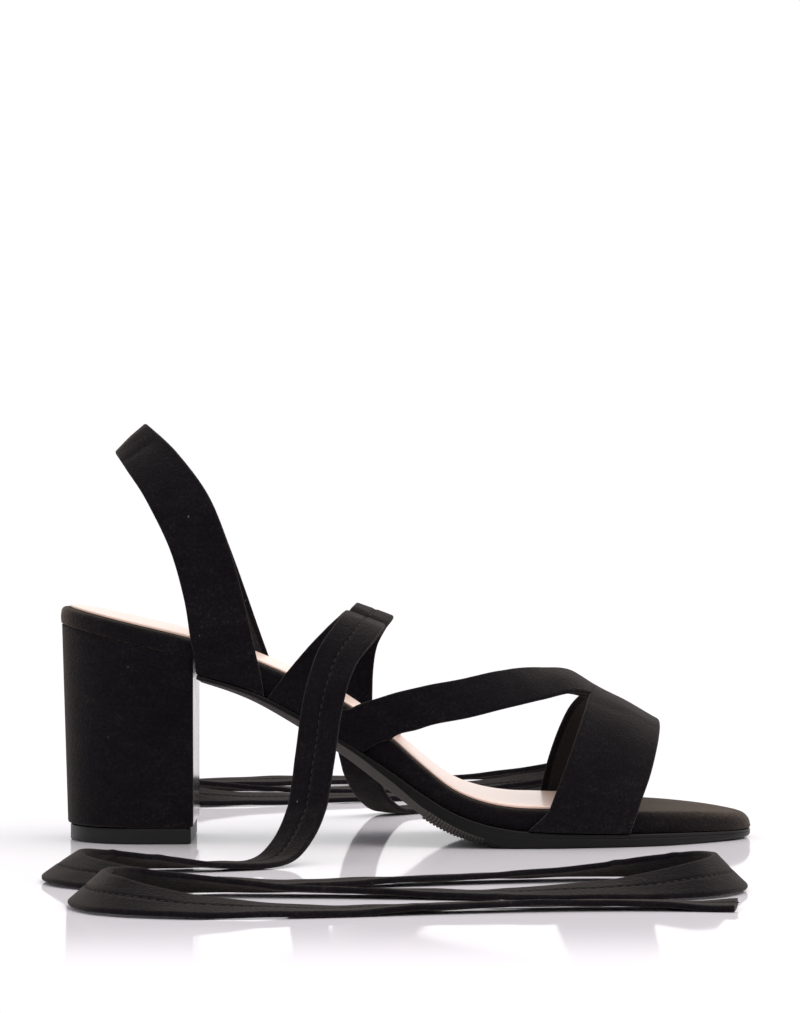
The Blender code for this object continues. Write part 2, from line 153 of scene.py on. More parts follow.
# Sling behind the ankle: its rear and its front edge, on the rim's side by x and turn, and from there
# to the middle of its back by place, with y as a distance from the middle. The front edge of the inner
# half lies inner_back further back.
SLING_ROOT = table(
    "rear_x rear_turn front_x front_turn",
    (-68.80, -0.100, -46.80, -0.100),
    (-69.80, -0.050, -47.60, -0.050),
    (-70.80, 0.0000, -48.60, 0.0000),
)
SLING = table(
    "rear_x  rear_y rear_z  front_x front_y front_z inner_back",
    (-72.70, 28.30, 80.40, -51.90, 28.60, 75.40, 0.400),
    (-77.40, 28.50, 97.00, -57.10, 30.00, 95.20, 2.400),
    (-85.20, 24.50, 112.4, -64.30, 27.00, 113.5, 2.600),
    (-92.60, 13.50, 122.8, -75.50, 16.50, 128.2, 1.600),
    (-96.00, 0.000, 127.4, -85.70, 0.000, 137.2, 0.000),
)

# Heel block under the seat
STEP_X = -69.8
STEP_RUN = 0.8
BREAST_X = STEP_X - GAP
SEAT_BACK = 72.0
SEAT_BREAST = 61.2
HEEL_INSET = 0.2
HEEL_BACK_LEAN = 2.0
HEEL_TAPER = 0.92
HEEL_EDGE = 1.0
HEEL_TOP_EDGE = 0.2
BREAST_CORNER = 1.3
# A face belongs to the breast where more than this of its normal points forward
BREAST_FACES = 0.95
TIP_HEIGHT = 5.3
TIP_INSET = 0.9
TIP_EDGE = 0.6

# Outsole
OUTSOLE_BACK = -68.9
OUTSOLE_LIP = 2.4
OUTSOLE_TOE_LIP = 0.3
LIP_FADES_FROM, LIP_FADES_TO = 86.0, 106.0
OUTSOLE_TOP_ROUND = 0.4
RIB_FROM, RIB_TO = 5.0, 26.0
RIB_PITCH = 1.1
RIB_DEPTH, RIB_RAMP = 0.2, 0.6
RIB_RADIUS, RIB_SUNK = 0.6, 0.48
RIB_FIRST, RIB_LAST = RIB_FROM + 0.7, RIB_TO - 0.5
TREAD_FROM, TREAD_TO = 34.0, 97.0
TREAD_FIRST, TREAD_LAST = TREAD_FROM + 1.4, TREAD_TO - 1.0
TREAD_INSET = 5.0
TREAD_PITCH = 2.1
TREAD_DEPTH = 0.5
TREAD_RIB = 0.65
BEVEL_MOST = 0.8
# How flat the bevel is at the waist, and over what run it turns into the tread's round edge
BEVEL_FLAT, BEVEL_FADES = 0.8, 10.0
# Bevel along the outsole's lower edge, wide at the waist: its height and how far it runs in
BEVEL = table(
    "x       rise   run",
    (-69.00, 0.600, 1.40),
    (-50.00, 1.500, 2.60),
    (-35.00, 2.600, 3.60),
    (-22.00, 3.900, 4.60),
    (-12.00, 4.700, 5.00),
    (-2.000, 4.700, 4.60),
    (6.0000, 3.700, 3.60),
    (15.000, 2.800, 2.80),
    (24.000, 1.700, 1.80),
    (32.000, 1.200, 1.20),
    (40.000, 1.200, 1.20),
    (115.00, 1.200, 1.20),
)

# Ankle ties, undone. Each leaves the joint between sling and instep strap, rises over the rim, bends
# outwards and drops to the floor, where it lies in loose turns. roll lifts its left edge, in degrees.
TIE_ROOT = table(
    "rear_x rear_turn front_x front_turn",
    (-45.60, -0.100, -33.60, -0.100),
    (-42.80, -0.050, -30.60, -0.050),
    (-40.00, 0.0000, -27.80, 0.0000),
)
TIE_DROP_OUTER = table(
    "x       y      z",
    (-31.20, -25.4, 56.00),
    (-19.80, -31.5, 68.20),
    (-13.80, -46.9, 74.70),
    (-15.90, -64.4, 72.40),
    (-22.80, -74.8, 62.50),
    (-27.00, -79.5, 47.00),
    (-29.20, -82.5, 31.00),
    (-32.00, -86.8, 15.50),
    (-38.00, -95.2, 4.800),
)
TIE_FLOOR_OUTER = table(
    "x       y       roll",
    (-46.80, -106.0, 0.0),
    (-59.00, -112.5, 4.0),
    (-75.00, -117.5, 14.0),
    (-95.50, -127.0, 28.0),
    (-104.0, -147.5, 34.0),
    (-95.50, -168.0, 28.0),
    (-75.00, -176.5, 14.0),
    (-40.00, -172.5, 2.0),
    (-4.000, -160.5, -4.0),
    (32.000, -149.5, -8.0),
    (66.000, -146.0, -22.0),
    (86.500, -154.5, -38.0),
    (95.000, -175.0, -44.0),
    (86.500, -195.5, -38.0),
    (66.000, -204.0, -20.0),
    (32.000, -203.0, -4.0),
    (-2.000, -197.0, 4.0),
    (-34.00, -193.5, 9.0),
    (-62.00, -194.0, 22.0),
    (-82.50, -202.5, 36.0),
    (-91.00, -223.0, 42.0),
    (-82.50, -243.5, 36.0),
    (-62.00, -252.0, 18.0),
    (-28.00, -249.0, 3.0),
    (8.0000, -238.5, -4.0),
    (44.000, -231.0, -6.0),
    (72.000, -230.0, -3.0),
    (92.500, -233.0, 3.0),
)
TIE_DROP_INNER = table(
    "x       y      z",
    (-28.70, 23.3, 55.00),
    (-17.30, 29.4, 67.20),
    (-11.30, 44.8, 73.70),
    (-12.60, 62.3, 71.40),
    (-17.20, 72.7, 61.50),
    (-18.80, 77.5, 46.00),
    (-18.40, 80.5, 31.00),
    (-16.00, 85.0, 15.50),
    (-10.00, 93.4, 4.800),
)
TIE_FLOOR_INNER = table(
    "x       y       roll",
    (-1.000, 104.5, 0.0),
    (12.000, 111.5, 4.0),
    (27.000, 115.5, 10.0),
    (45.000, 118.0, 22.0),
    (65.500, 126.5, 38.0),
    (74.000, 147.0, 44.0),
    (65.500, 167.5, 38.0),
    (45.000, 176.0, 20.0),
    (10.000, 170.5, 3.0),
    (-24.00, 155.0, -4.0),
    (-54.00, 141.5, -9.0),
    (-82.00, 137.0, -22.0),
    (-102.5, 145.5, -36.0),
    (-111.0, 166.0, -42.0),
    (-102.5, 186.5, -36.0),
    (-82.00, 195.0, -18.0),
    (-46.00, 197.0, -3.0),
    (-10.00, 195.5, 4.0),
    (22.000, 194.0, 9.0),
    (46.000, 196.0, 22.0),
    (66.000, 204.5, 36.0),
    (74.500, 225.0, 42.0),
    (66.000, 245.5, 36.0),
    (46.000, 254.0, 18.0),
    (10.000, 251.5, 3.0),
    (-26.00, 243.0, -4.0),
    (-62.00, 233.0, -5.0),
    (-106.0, 225.0, 2.0),
)

# Creases of the soft pieces: their place along and across a strap, their heading from the strap's run in
# degrees, their half length, half width and height, which is below 0 for a trough.
CREASE_COLUMNS = "along across heading length width height"
BAND_CREASES = table(
    CREASE_COLUMNS,
    (4.0, 4.00, 62.0, 4.5, 0.9, -0.40),
    (6.5, 7.00, 58.0, 5.5, 1.0, 0.32),
    (9.0, 9.50, 55.0, 5.0, 1.0, -0.30),
    (3.5, 26.0, 110., 4.5, 1.0, -0.25),
    (47.0, 6.0, 84.0, 8.0, 2.6, -0.22),
    (53.0, 17.0, 92.0, 9.0, 3.0, 0.20),
    (118.0, 8.0, 95.0, 9.0, 2.6, -0.22),
    (160.0, 6.0, 120., 5.0, 1.0, -0.35),
    (157.0, 9.0, 124., 5.5, 1.0, 0.28),
)
INSTEP_CREASES = table(
    CREASE_COLUMNS,
    (7.0, 14.0, 64.0, 5.0, 1.1, -0.30),
    (12.0, 10.0, 72.0, 6.0, 1.3, -0.34),
    (17.0, 9.0, 76.0, 6.0, 1.5, 0.22),
    (62.0, 5.0, 82.0, 7.0, 2.4, -0.20),
    (104.0, 5.0, 76.0, 6.0, 1.6, -0.28),
)
SLING_CREASES = table(
    CREASE_COLUMNS,
    (9.0, 15.0, 66.0, 6.0, 1.3, -0.30),
    (24.0, 6.0, 98.0, 7.0, 2.2, -0.22),
    (64.0, 10.0, 80.0, 8.0, 2.8, -0.25),
    (88.0, 7.0, 74.0, 7.0, 1.8, -0.34),
    (97.0, 9.0, 84.0, 8.0, 2.0, 0.26),
    (108.0, 8.0, 96.0, 8.0, 2.0, -0.32),
    (140.0, 9.0, 100., 8.0, 2.6, -0.24),
    (192.0, 14.0, 112., 6.0, 1.3, -0.28),
)
TIE_CREASES = table(
    CREASE_COLUMNS,
    (10.0, 9.0, 70.0, 6.0, 1.3, -0.30),
    (30.0, 6.0, 86.0, 8.0, 2.4, -0.34),
    (44.0, 8.0, 94.0, 8.0, 2.2, -0.40),
    (58.0, 7.0, 88.0, 8.0, 2.6, 0.30),
    (118.0, 7.0, 84.0, 8.0, 2.6, -0.34),
    (131.0, 8.0, 97.0, 8.0, 2.2, 0.30),
    (196.0, 10.0, 74.0, 6.0, 1.8, -0.32),
    (214.0, 10.0, 104., 6.0, 1.8, -0.32),
    (330.0, 6.0, 88.0, 7.0, 3.0, -0.26),
    (428.0, 4.0, 76.0, 6.0, 1.8, -0.32),
    (446.0, 4.0, 106., 6.0, 1.8, -0.32),
    (560.0, 8.0, 92.0, 7.0, 3.0, -0.26),
    (668.0, 10.0, 74.0, 6.0, 1.8, -0.32),
    (686.0, 10.0, 104., 6.0, 1.8, -0.32),
    (806.0, 6.0, 86.0, 7.0, 3.0, -0.24),
)

# A strap's round edges, turned margins, lining, seam and stitches
EDGE_STEPS = 5
MARGIN_STOPS = (1.3, 1.9, 2.1, 2.4)
LINING_FROM, LINING_STEP = 1.9, 0.35
LINING_SUNK = 0.22
LINING_STITCH_INSET = 3.0
SEAM_DEPTH, SEAM_WIDTH = 0.42, 0.45
STITCH_PITCH = 2.6
STITCH_LENGTH = 2.0
THREAD = 0.38
# Its faint unevenness is two waves: their slants across it, and the second one's share, pitch and start
FIRST_SLANT, SECOND_SLANT = 0.21, -0.34
SECOND_SHARE, SECOND_PITCH, SECOND_START = 0.6, 1.83, 1.1
# Places that measure a strap's length and its width, and the small shift that gives its slope
LENGTH_PLACES, WIDTH_PLACES = 2000, 9
NUDGE = 1e-3
# The face is crowned where it has risen this far round its edges, and a mesh is creased over this angle
CROWN_FROM = 0.99
SHARP_ANGLE = math.radians(50)

# Camera, from the photograph's frame of 800 by 1013 pixels
PHOTO_HEIGHT = 1013
FOCAL_PIXELS = 4500.0
EYE = (-2.2, -1500.0, 130.0)
EYE_ROW = 448.6
SENSOR = 36.0


def cubic(t, step, first, second, slope, next_slope):
    """A cubic from a first value to a second over a step, with the slopes that it has there."""
    ends = first * (1 + 2 * t) * (1 - t) ** 2 + second * t * t * (3 - 2 * t)
    return ends + step * (slope * t * (1 - t) ** 2 - next_slope * t * t * (1 - t))


def through(at, values):
    """A smooth curve through rows of values, as a function: each row's slope is that of its neighbours."""
    at, values = np.asarray(at, float), np.asarray(values, float)
    slopes = np.gradient(values, at, axis=0)

    def value(x):
        x = np.asarray(x, float)
        i = np.clip(np.searchsorted(at, x) - 1, 0, len(at) - 2)
        more = x.shape + (1,) * (values.ndim - 1)
        step = (at[i + 1] - at[i]).reshape(more)
        t = (x - at[i]).reshape(more) / step
        return cubic(t, step, values[i], values[i + 1], slopes[i], slopes[i + 1])

    return value


def columns_through(rows, key):
    """Each column of a table as a smooth function of its key column."""
    return {name: through(rows[key], values) for name, values in rows.items() if name != key}


footbed = columns_through(FOOTBED, "x")
last = columns_through(LAST, "x")
bevel = columns_through(BEVEL, "x")


def smooth(share):
    """Eases a share from 0 to 1."""
    share = np.clip(share, 0, 1)
    return share * share * (3 - 2 * share)


def unit(vectors):
    """Vectors of length 1 along the given ones."""
    return vectors / np.linalg.norm(vectors, axis=-1, keepdims=True)


def distances(points):
    """How far along a line each of its points lies."""
    return np.concatenate([[0], np.cumsum(np.linalg.norm(np.diff(points, axis=0), axis=1))])


def points_of(rows, names):
    """The points that three columns of a table give."""
    return np.stack([rows[name] for name in names.split()], axis=1)


def end_rounding(x):
    """The share of the full half width that is left at x, where the heel and the toe round off."""
    from_heel = np.clip((x + HALF) / HEEL_ROUND, 0, 1)
    from_toe = np.clip((HALF - x) / TOE_ROUND, 0, 1)
    heel = np.sqrt(1 - (1 - from_heel) ** 2)
    return heel * (1 - (1 - from_toe) ** TOE_POWER) ** (1 / TOE_POWER)


def edge_y(x, inset=0.0):
    """The footbed's outer and inner edge at x, moved in by inset."""
    share = end_rounding(x)
    outer = footbed["axis"](x) - footbed["outer"](x) * share + inset
    inner = footbed["axis"](x) + footbed["inner"](x) * share - inset
    return outer, inner


def seat_under(x):
    """The flat underside of the heel seat."""
    return SEAT_BACK + (SEAT_BREAST - SEAT_BACK) * (x + HALF) / (STEP_X + HALF)


def last_point(x, turn):
    """Points on the last at x, one gap outside the footbed's sides; BAND's note explains turn."""
    outer, inner = edge_y(x, -GAP)
    top, joint = footbed["top"](x), footbed["joint"](x)
    over = np.clip(turn, 0, 1)
    below = np.maximum(np.maximum(-turn, turn - 1), 0) / RIM_TURN
    ridge = footbed["axis"](x) + RIDGE_SHIFT
    across, up = np.cos(np.pi * over), np.abs(np.sin(np.pi * over))
    side = np.where(across > 0, outer, inner)
    y = ridge + (side - ridge) * np.abs(across) ** (2 / LAST_POWER)
    z = top + (last["crown"](x) - top) * up ** (2 / LAST_POWER) - below * (top - joint)
    return np.stack([x, y, z], axis=-1)


# Surfaces of the straps. Each takes row numbers along the strap and shares from 0 to 1 across it.


def band_surface(turn, share):
    """The toe band, whose row numbers are turns round the foot."""
    band = columns_through(BAND, "turn")
    back, front = band["back"](turn), band["front"](turn)
    return last_point(back + share * (front - back), turn)


def edged_surface(rows, inner_side):
    """A strap on the last between the two edges that a table gives for the outer side."""
    edges = [through(np.arange(len(column)), column) for column in rows.values()]

    def surface(row, share):
        if inner_side:
            share = 1 - share
        first_x, first_turn, second_x, second_turn = (edge(row) for edge in edges)
        x = first_x + share * (second_x - first_x)
        turn = first_turn + share * (second_turn - first_turn)
        if inner_side:
            x, turn = x + INNER_SHIFT, 1 - turn * np.where(turn > 0, INNER_TURN, 1.0)
        return last_point(x, turn)

    return surface


def grid_surface(grid):
    """A smooth surface through a grid of points."""
    grid = np.asarray(grid, float)
    at_row = through(np.arange(len(grid)), grid)
    columns = grid.shape[1]

    def surface(row, share):
        row, share = np.broadcast_arrays(np.asarray(row, float), np.asarray(share, float))
        points = at_row(row)
        slopes = np.gradient(points, axis=-2)
        place = share * (columns - 1)
        k = np.clip(place.astype(int), 0, columns - 2)
        t = (place - k)[..., None]

        def pick(values, index):
            return np.take_along_axis(values, index[..., None, None], axis=-2)[..., 0, :]

        return cubic(t, 1.0, pick(points, k), pick(points, k + 1), pick(slopes, k), pick(slopes, k + 1))

    return surface


def root_grid(rows, count, columns, inner_side):
    """Points of a strap's root on the rim, in rows along it and columns across it."""
    surface = edged_surface(rows, inner_side)
    row = np.linspace(0, len(next(iter(rows.values()))) - 1, count)
    return surface(*np.meshgrid(row, np.linspace(0, 1, columns), indexing="ij"))


# Rows of each root, and columns across the sling
SLING_ROOT_ROWS, TIE_ROOT_ROWS = 3, 4
SLING_GRID_COLUMNS = 5


def sling_grid():
    """The sling: up the outer side, round the back of the ankle and down the inner side."""
    columns = SLING_GRID_COLUMNS
    outer_root, inner_root = (root_grid(SLING_ROOT, SLING_ROOT_ROWS, columns, side) for side in (False, True))
    rear = points_of(SLING, "rear_x rear_y rear_z")
    front = points_of(SLING, "front_x front_y front_z")
    inner_front = front - np.outer(SLING["inner_back"], (1, 0, 0))
    shares = np.linspace(0, 1, columns)
    outer_free, inner_free = (
        np.stack([rear + share * (edge - rear) for share in shares], axis=1) for edge in (front, inner_front)
    )
    outer = np.concatenate([outer_root, outer_free * (1, -1, 1)])
    inner = np.concatenate([inner_root[:, ::-1], inner_free[:-1]])
    return np.concatenate([outer, inner[::-1]])


def tie_grid(drop, floor, inner_side):
    """A tie as rows of points across it: its root on the rim, then its free length by centre and width."""
    side = 1.0 if inner_side else -1.0
    root = root_grid(TIE_ROOT, TIE_ROOT_ROWS, 3, inner_side) + (0, side * TIE_WALL / 2, 0)
    root_width = unit(root[-1][-1] - root[-1][0])
    hanging = points_of(drop, "x y z")
    lying = at_height(np.stack([floor["x"], floor["y"]], axis=1), 0.0)
    points = np.concatenate([[root[-1].mean(axis=0)], hanging, lying])
    rolls = np.concatenate([np.zeros(len(hanging) + 1), np.radians(floor["roll"])])
    along = distances(points)
    centre, roll = through(along, points), through(along, rolls)
    lies_from = along[len(hanging) + 1]
    grid = list(root)
    for s in np.linspace(0, along[-1], round(along[-1] / TIE_STEP))[1:]:
        ahead = unit(centre(min(s + 1, along[-1])) - centre(max(s - 1, 0)))
        left = unit(np.array((-ahead[1], ahead[0], 0.0)))
        share = smooth(s / lies_from)
        across = root_width * (1 - share) + left * share
        across = unit(across - ahead * across.dot(ahead))
        face = np.cross(ahead, across)
        across = across * math.cos(roll(s)) + face * math.sin(roll(s))
        face = np.cross(ahead, across)
        middle = centre(s)
        middle[2] = max(middle[2], GAP + abs(across[2]) * TIE_WIDTH / 2 + abs(face[2]) * TIE_WALL / 2)
        grid.append([middle + across * TIE_WIDTH * half for half in (-0.5, 0.0, 0.5)])
    return np.array(grid)


def crease_relief(rows, waviness, wave_length):
    """Heights of a strap's creases and of its faint unevenness, by place along and across it."""

    def relief(along, across):
        turn = 2 * np.pi / wave_length * along
        wave = np.sin(turn + FIRST_SLANT * across)
        second = np.sin(SECOND_PITCH * turn + SECOND_SLANT * across + SECOND_START)
        total = waviness * (wave + SECOND_SHARE * second)
        for a, b, heading, length, width, height in zip(*rows.values()):
            cos, sin = math.cos(math.radians(heading)), math.sin(math.radians(heading))
            forward = (along - a) * cos + (across - b) * sin
            sideways = (across - b) * cos - (along - a) * sin
            total = total + height * np.exp(-((sideways / width) ** 2) - (forward / length) ** 4)
        return total

    return relief


class Strap:
    """A strap of one wall on a surface, from its first to its last row."""

    def __init__(self, surface, ends, step, low, high, relief):
        self.surface, self.ends, self.relief = surface, ends, relief
        fine = np.linspace(*ends, LENGTH_PLACES)
        middle = surface(fine, np.full(fine.shape, 0.5))
        run = distances(middle)
        self.along = np.linspace(0, run[-1], round(run[-1] / step) + 1)
        self.rows = np.interp(self.along, run, fine)
        across = surface(*np.meshgrid(self.rows, np.linspace(0, 1, WIDTH_PLACES), indexing="ij"))
        self.width = np.linalg.norm(np.diff(across, axis=1), axis=2).sum(axis=1)
        self.low = np.broadcast_to(low(self.rows) if callable(low) else low, self.rows.shape)
        self.high = np.broadcast_to(high(self.rows) if callable(high) else high, self.rows.shape)

    def points(self, share, height):
        """Points by share across and height over the surface, each an array of rows by columns."""
        rows = np.broadcast_to(self.rows[:, None], share.shape)
        first, last_row = self.ends
        nudge = NUDGE * (last_row - first)
        before, after = np.maximum(rows - nudge, first), np.minimum(rows + nudge, last_row)
        left, right = np.maximum(share - NUDGE, 0), np.minimum(share + NUDGE, 1)
        over = self.surface(rows, right) - self.surface(rows, left)
        normal = unit(np.cross(over, self.surface(after, share) - self.surface(before, share)))
        wrinkle = self.relief(self.along[:, None], share * self.width[:, None])
        return self.surface(rows, share) + normal * (height + wrinkle)[..., None]

    def line(self, distance, height):
        """A line along the strap at a distance from its first edge, or from its last where it is below 0."""
        return self.line_at(distance / self.width if distance >= 0 else 1 + distance / self.width, height)

    def line_at(self, share, height):
        """A line along the strap at a share of its width."""
        share, height = (np.broadcast_to(value, self.width.shape)[:, None] for value in (share, height))
        return self.points(share, height)[:, 0]


def edge_columns(strap, middle):
    """Places across a strap, dense at its round edges: shares, distances from the nearer edge and lifts."""
    half = ((strap.high - strap.low) / 2)[:, None]
    turn = np.linspace(0, np.pi / 2, EDGE_STEPS)
    rounded = half * (1 - np.cos(turn))
    margin = np.broadcast_to(MARGIN_STOPS, (len(half), len(MARGIN_STOPS)))
    near = np.concatenate([rounded, margin], axis=1) / strap.width[:, None]
    between = np.linspace(0, 1, middle + 2)[1:-1]
    inside = near[:, -1:] + (1 - 2 * near[:, -1:]) * between
    share = np.concatenate([near, inside, 1 - near[:, ::-1]], axis=1)
    lift = np.ones(share.shape)
    lift[:, :EDGE_STEPS] = np.sin(turn)
    lift[:, -EDGE_STEPS:] = np.sin(turn)[::-1]
    return share, np.minimum(share, 1 - share) * strap.width[:, None], lift


def quads_between(first, second):
    """Faces between two rows of vertex numbers."""
    return list(zip(first[:-1], first[1:], second[1:], second[:-1]))


def lay(name, points, faces, finishes, slot, node, face_finish=None):
    """Makes a piece of points in millimetres: its mesh, its finishes, its body and its CAD node. Its slot is
    not used.
    """
    mesh = bpy.data.meshes.new(name)
    mesh.from_pydata(np.asarray(points) * MM, [], faces)
    for finish in finishes:
        mesh.materials.append(finish)
    if face_finish is not None:
        mesh.polygons.foreach_set("material_index", face_finish)
    shape = bmesh.new()
    shape.from_mesh(mesh)
    bmesh.ops.recalc_face_normals(shape, faces=shape.faces)
    shape.to_mesh(mesh)
    shape.free()
    mesh.shade_smooth()
    mesh.set_sharp_from_angle(angle=SHARP_ANGLE)
    return place(bpy.data.objects.new(name, mesh), slot, node)


def place(piece, slot, *nodes):
    """Puts a finished piece into the scene and on the shoe's one body."""
    bpy.context.scene.collection.objects.link(piece)
    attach(piece, BODY)
    if nodes:
        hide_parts(*nodes)
    return piece


def lay_strap(name, strap, finishes, slot, node, crown, back, middle, floor=None):
    """A strap with round edges, a crowned face and a back whose depth a function gives."""
    share, distance, lift = edge_columns(strap, middle)
    half = ((strap.high - strap.low) / 2)[:, None]
    mid = ((strap.high + strap.low) / 2)[:, None]
    swell = crown * smooth(2 * distance / strap.width[:, None]) * (lift > CROWN_FROM)
    sunk, is_lining = back(strap, share, distance)
    face = strap.points(share, mid + half * lift + swell)
    rear = strap.points(share, mid - half * lift + sunk)
    ring = np.concatenate([face, rear[:, -2:0:-1]], axis=1)
    if floor is not None:
        ring[..., 2] = np.maximum(ring[..., 2], floor)
    rows, count = ring.shape[:2]
    columns = share.shape[1]
    number = np.arange(rows * count).reshape(rows, count)
    closed = np.concatenate([number, number[:, :1]], axis=1)
    faces, face_finish = [], []
    lined = [False] * (columns - 1) + list(is_lining[::-1])
    for first, second in zip(closed, closed[1:]):
        faces += quads_between(first, second)
        face_finish += lined
    for end in (0, rows - 1):
        upper = number[end, :columns]
        lower = closed[end, ::-1][:columns]
        faces += [tuple(dict.fromkeys(corners)) for corners in quads_between(upper, lower)]
        face_finish += [False] * (columns - 1)
    return lay(name, ring.reshape(-1, 3), faces, finishes, slot, node, np.array(face_finish, np.int32))


def lined_back(strap, share, distance):
    """The back of a lined strap: a turned margin along each edge, and the lining sunk between them."""
    sunk = LINING_SUNK * smooth((distance - LINING_FROM) / LINING_STEP)
    columns = share.shape[1]
    first = EDGE_STEPS + len(MARGIN_STOPS) - 2
    is_lining = np.zeros(columns - 1, bool)
    is_lining[first:columns - 1 - first] = True
    return sunk, is_lining


def seamed_back(strap, share, distance):
    """The back of a tie: its two folded edges meet along the middle in a sewn seam."""
    from_seam = (share - 0.5) * strap.width[:, None]
    sunk = SEAM_DEPTH * np.exp(-((from_seam / SEAM_WIDTH) ** 2))
    return sunk, np.zeros(share.shape[1] - 1, bool)


def footprint(x, inset=0.0):
    """A closed loop round the footbed: along its outer side at each x, then back along its inner side."""
    outer, inner = edge_y(x, inset)
    return np.concatenate([np.stack([x, outer], axis=1), np.stack([x, inner], axis=1)[::-1]])


def moved_in(loop, inset):
    """A loop moved in by inset, at a right angle to its run."""
    run = unit(np.roll(loop, -1, axis=0) - np.roll(loop, 1, axis=0))
    return loop + np.stack([-run[:, 1], run[:, 0]], axis=1) * np.reshape(inset, (-1, 1))


def at_height(loop, z):
    """A level loop's points at one height, or at a height for each."""
    return np.column_stack([loop, np.broadcast_to(z, len(loop))])


def lay_shell(name, rings, finish, slot, node, columns, last_fill=None):
    """A closed solid through rings round a footprint, filled from side to side at its first and last ring."""
    count = len(rings[0])
    half = count // 2
    points = list(rings)
    faces = []
    numbers = np.arange(len(rings) * count).reshape(len(rings), count)
    closed = np.concatenate([numbers, numbers[:, :1]], axis=1)
    for first, second in zip(closed, closed[1:]):
        faces += quads_between(first, second)
    total = numbers.size
    shares = np.linspace(0, 1, columns + 1)[1:-1, None, None]
    for end, fill in ((0, None), (-1, last_fill)):
        outer, inner = rings[end][:half], rings[end][::-1][:half]
        inside = outer + shares * (inner - outer)
        if fill:
            inside = fill(inside)
        points.append(inside.reshape(-1, 3))
        added = total + np.arange(inside.shape[0] * half).reshape(-1, half)
        total += added.size
        strips = [numbers[end][:half], *added, numbers[end][::-1][:half]]
        for first, second in zip(strips, strips[1:]):
            faces += quads_between(first, second)
    return lay(name, np.concatenate(points), faces, [finish], slot, node)


# A round end's stations stop just short of its tip: their angles, in degrees
ROUND_FROM, ROUND_TO = 1, 90


def heel_stations(count):
    """Places along the round of the heel, close together at its back."""
    return -HALF + HEEL_ROUND * (1 - np.cos(np.radians(np.linspace(ROUND_FROM, ROUND_TO, count))))


def toe_stations(count):
    """Places along the round of the toe, close together at its tip."""
    return HALF - TOE_ROUND * (1 - np.cos(np.radians(np.linspace(ROUND_TO, ROUND_FROM, count))))


def quarter(count):
    """Angles of a quarter turn."""
    return np.linspace(0, np.pi / 2, count)


def rounding(radius, count):
    """Steps round an edge, from its face to its side: how far in from the side, and how far off the face."""
    return [(radius * (1 - math.sin(a)), radius * (1 - math.cos(a))) for a in quarter(count)]


# The board's stations between its round ends: where each run starts and stops, and its step
SEAT_RUN = (-87.0, STEP_X, 1.6)
ARCH_RUN = (STEP_X + STEP_RUN, HALF - TOE_ROUND - 1.0, 1.5)
PLATFORM_FOOT_ROUND = 0.4
# The rim's edge is rounder at the toe: by how much, from where and over what run
TOE_ROUNDER, TOE_ROUNDER_FROM, TOE_ROUNDER_RUN = 1.6, 72.0, 22.0
RIM_LEVELS = 5
RIM_BULGE = 0.18
# Waves in the cover's top: height, length along X, length along Y and start
COVER_WAVES = ((0.06, 5.1, 7.7, 0.0), (0.05, 8.3, -4.9, 1.3))


def build_platform(finish):
    """The wrapped board: suede turned in under it, an upright rim, a round edge and a flat top."""
    seat, arch = np.arange(*SEAT_RUN), np.arange(*ARCH_RUN)
    loop = footprint(np.concatenate([heel_stations(46), seat, [STEP_X], arch, toe_stations(60)]))
    x = loop[:, 0]
    under = np.where(x < STEP_X + STEP_RUN / 2, seat_under(x), footbed["joint"](x))
    rim_round = RIM_ROUND + TOE_ROUNDER * smooth((x - TOE_ROUNDER_FROM) / TOE_ROUNDER_RUN)
    foot, head = under + PLATFORM_FOOT_ROUND, footbed["top"](x) - rim_round
    rings = []
    for inset, rise in rounding(PLATFORM_FOOT_ROUND, 4)[:-1]:
        rings.append(at_height(moved_in(loop, inset), under + rise))
    for share in np.linspace(0, 1, RIM_LEVELS):
        level = moved_in(loop, -RIM_BULGE * math.sin(math.pi * share))
        rings.append(at_height(level, foot + share * (head - foot)))
    for drop, inset in rounding(rim_round, 9)[1:]:
        level = moved_in(loop, inset)
        rings.append(at_height(level, footbed["top"](level[:, 0]) - drop))

    def uneven(inside):
        for height, along, across, start in COVER_WAVES:
            inside[..., 2] += height * np.sin(inside[..., 0] / along + inside[..., 1] / across + start)
        return inside

    return lay_shell("platform_cover", rings, finish, "platform_suede", "platform", 34, uneven)


SOCK_RUN = (-88.0, SOCK_FRONT, 1.6)
SOCK_ROUND = 0.45


def build_sock(finish):
    """The sock lining: a thin sheet with a pressed edge, which ends under the toe band."""
    stations = np.concatenate([heel_stations(40), np.arange(*SOCK_RUN), [SOCK_FRONT]])
    loop = moved_in(footprint(stations), SOCK_INSET)
    foot = at_height(loop, footbed["top"](loop[:, 0]) + GAP)
    rings = [foot, foot + (0, 0, SOCK_WALL - SOCK_ROUND)]
    for drop, inset in rounding(SOCK_ROUND, 6)[1:]:
        level = moved_in(loop, inset)
        rings.append(at_height(level, footbed["top"](level[:, 0]) + GAP + SOCK_WALL - drop))
    return lay_shell("sock_lining_sheet", rings, finish, "sock", "sock_lining", 30)


def outsole_lip(x):
    """How far the outsole stands out round the footbed at x."""
    share = np.clip((x - LIP_FADES_FROM) / (LIP_FADES_TO - LIP_FADES_FROM), 0, 1)
    return OUTSOLE_LIP + (OUTSOLE_TOE_LIP - OUTSOLE_LIP) * share


def outsole_ground(x):
    """The outsole's ground side at x, which the floor stops."""
    return np.maximum(footbed["ground"](x), 0.0)


def rib_cut(x):
    """How far the ground side is cut back for the ribs at x."""
    return RIB_DEPTH * np.clip((x - RIB_FROM) / RIB_RAMP, 0, 1) * np.clip((RIB_TO - x) / RIB_RAMP, 0, 1)


def rib_lean(foot):
    """How far a rib behind the ball leans to the toe, from its foot to the top of the bevel."""
    return bevel["rise"](foot) * (outsole_ground(foot - 1.0) - outsole_ground(foot + 1.0)) / 2.0


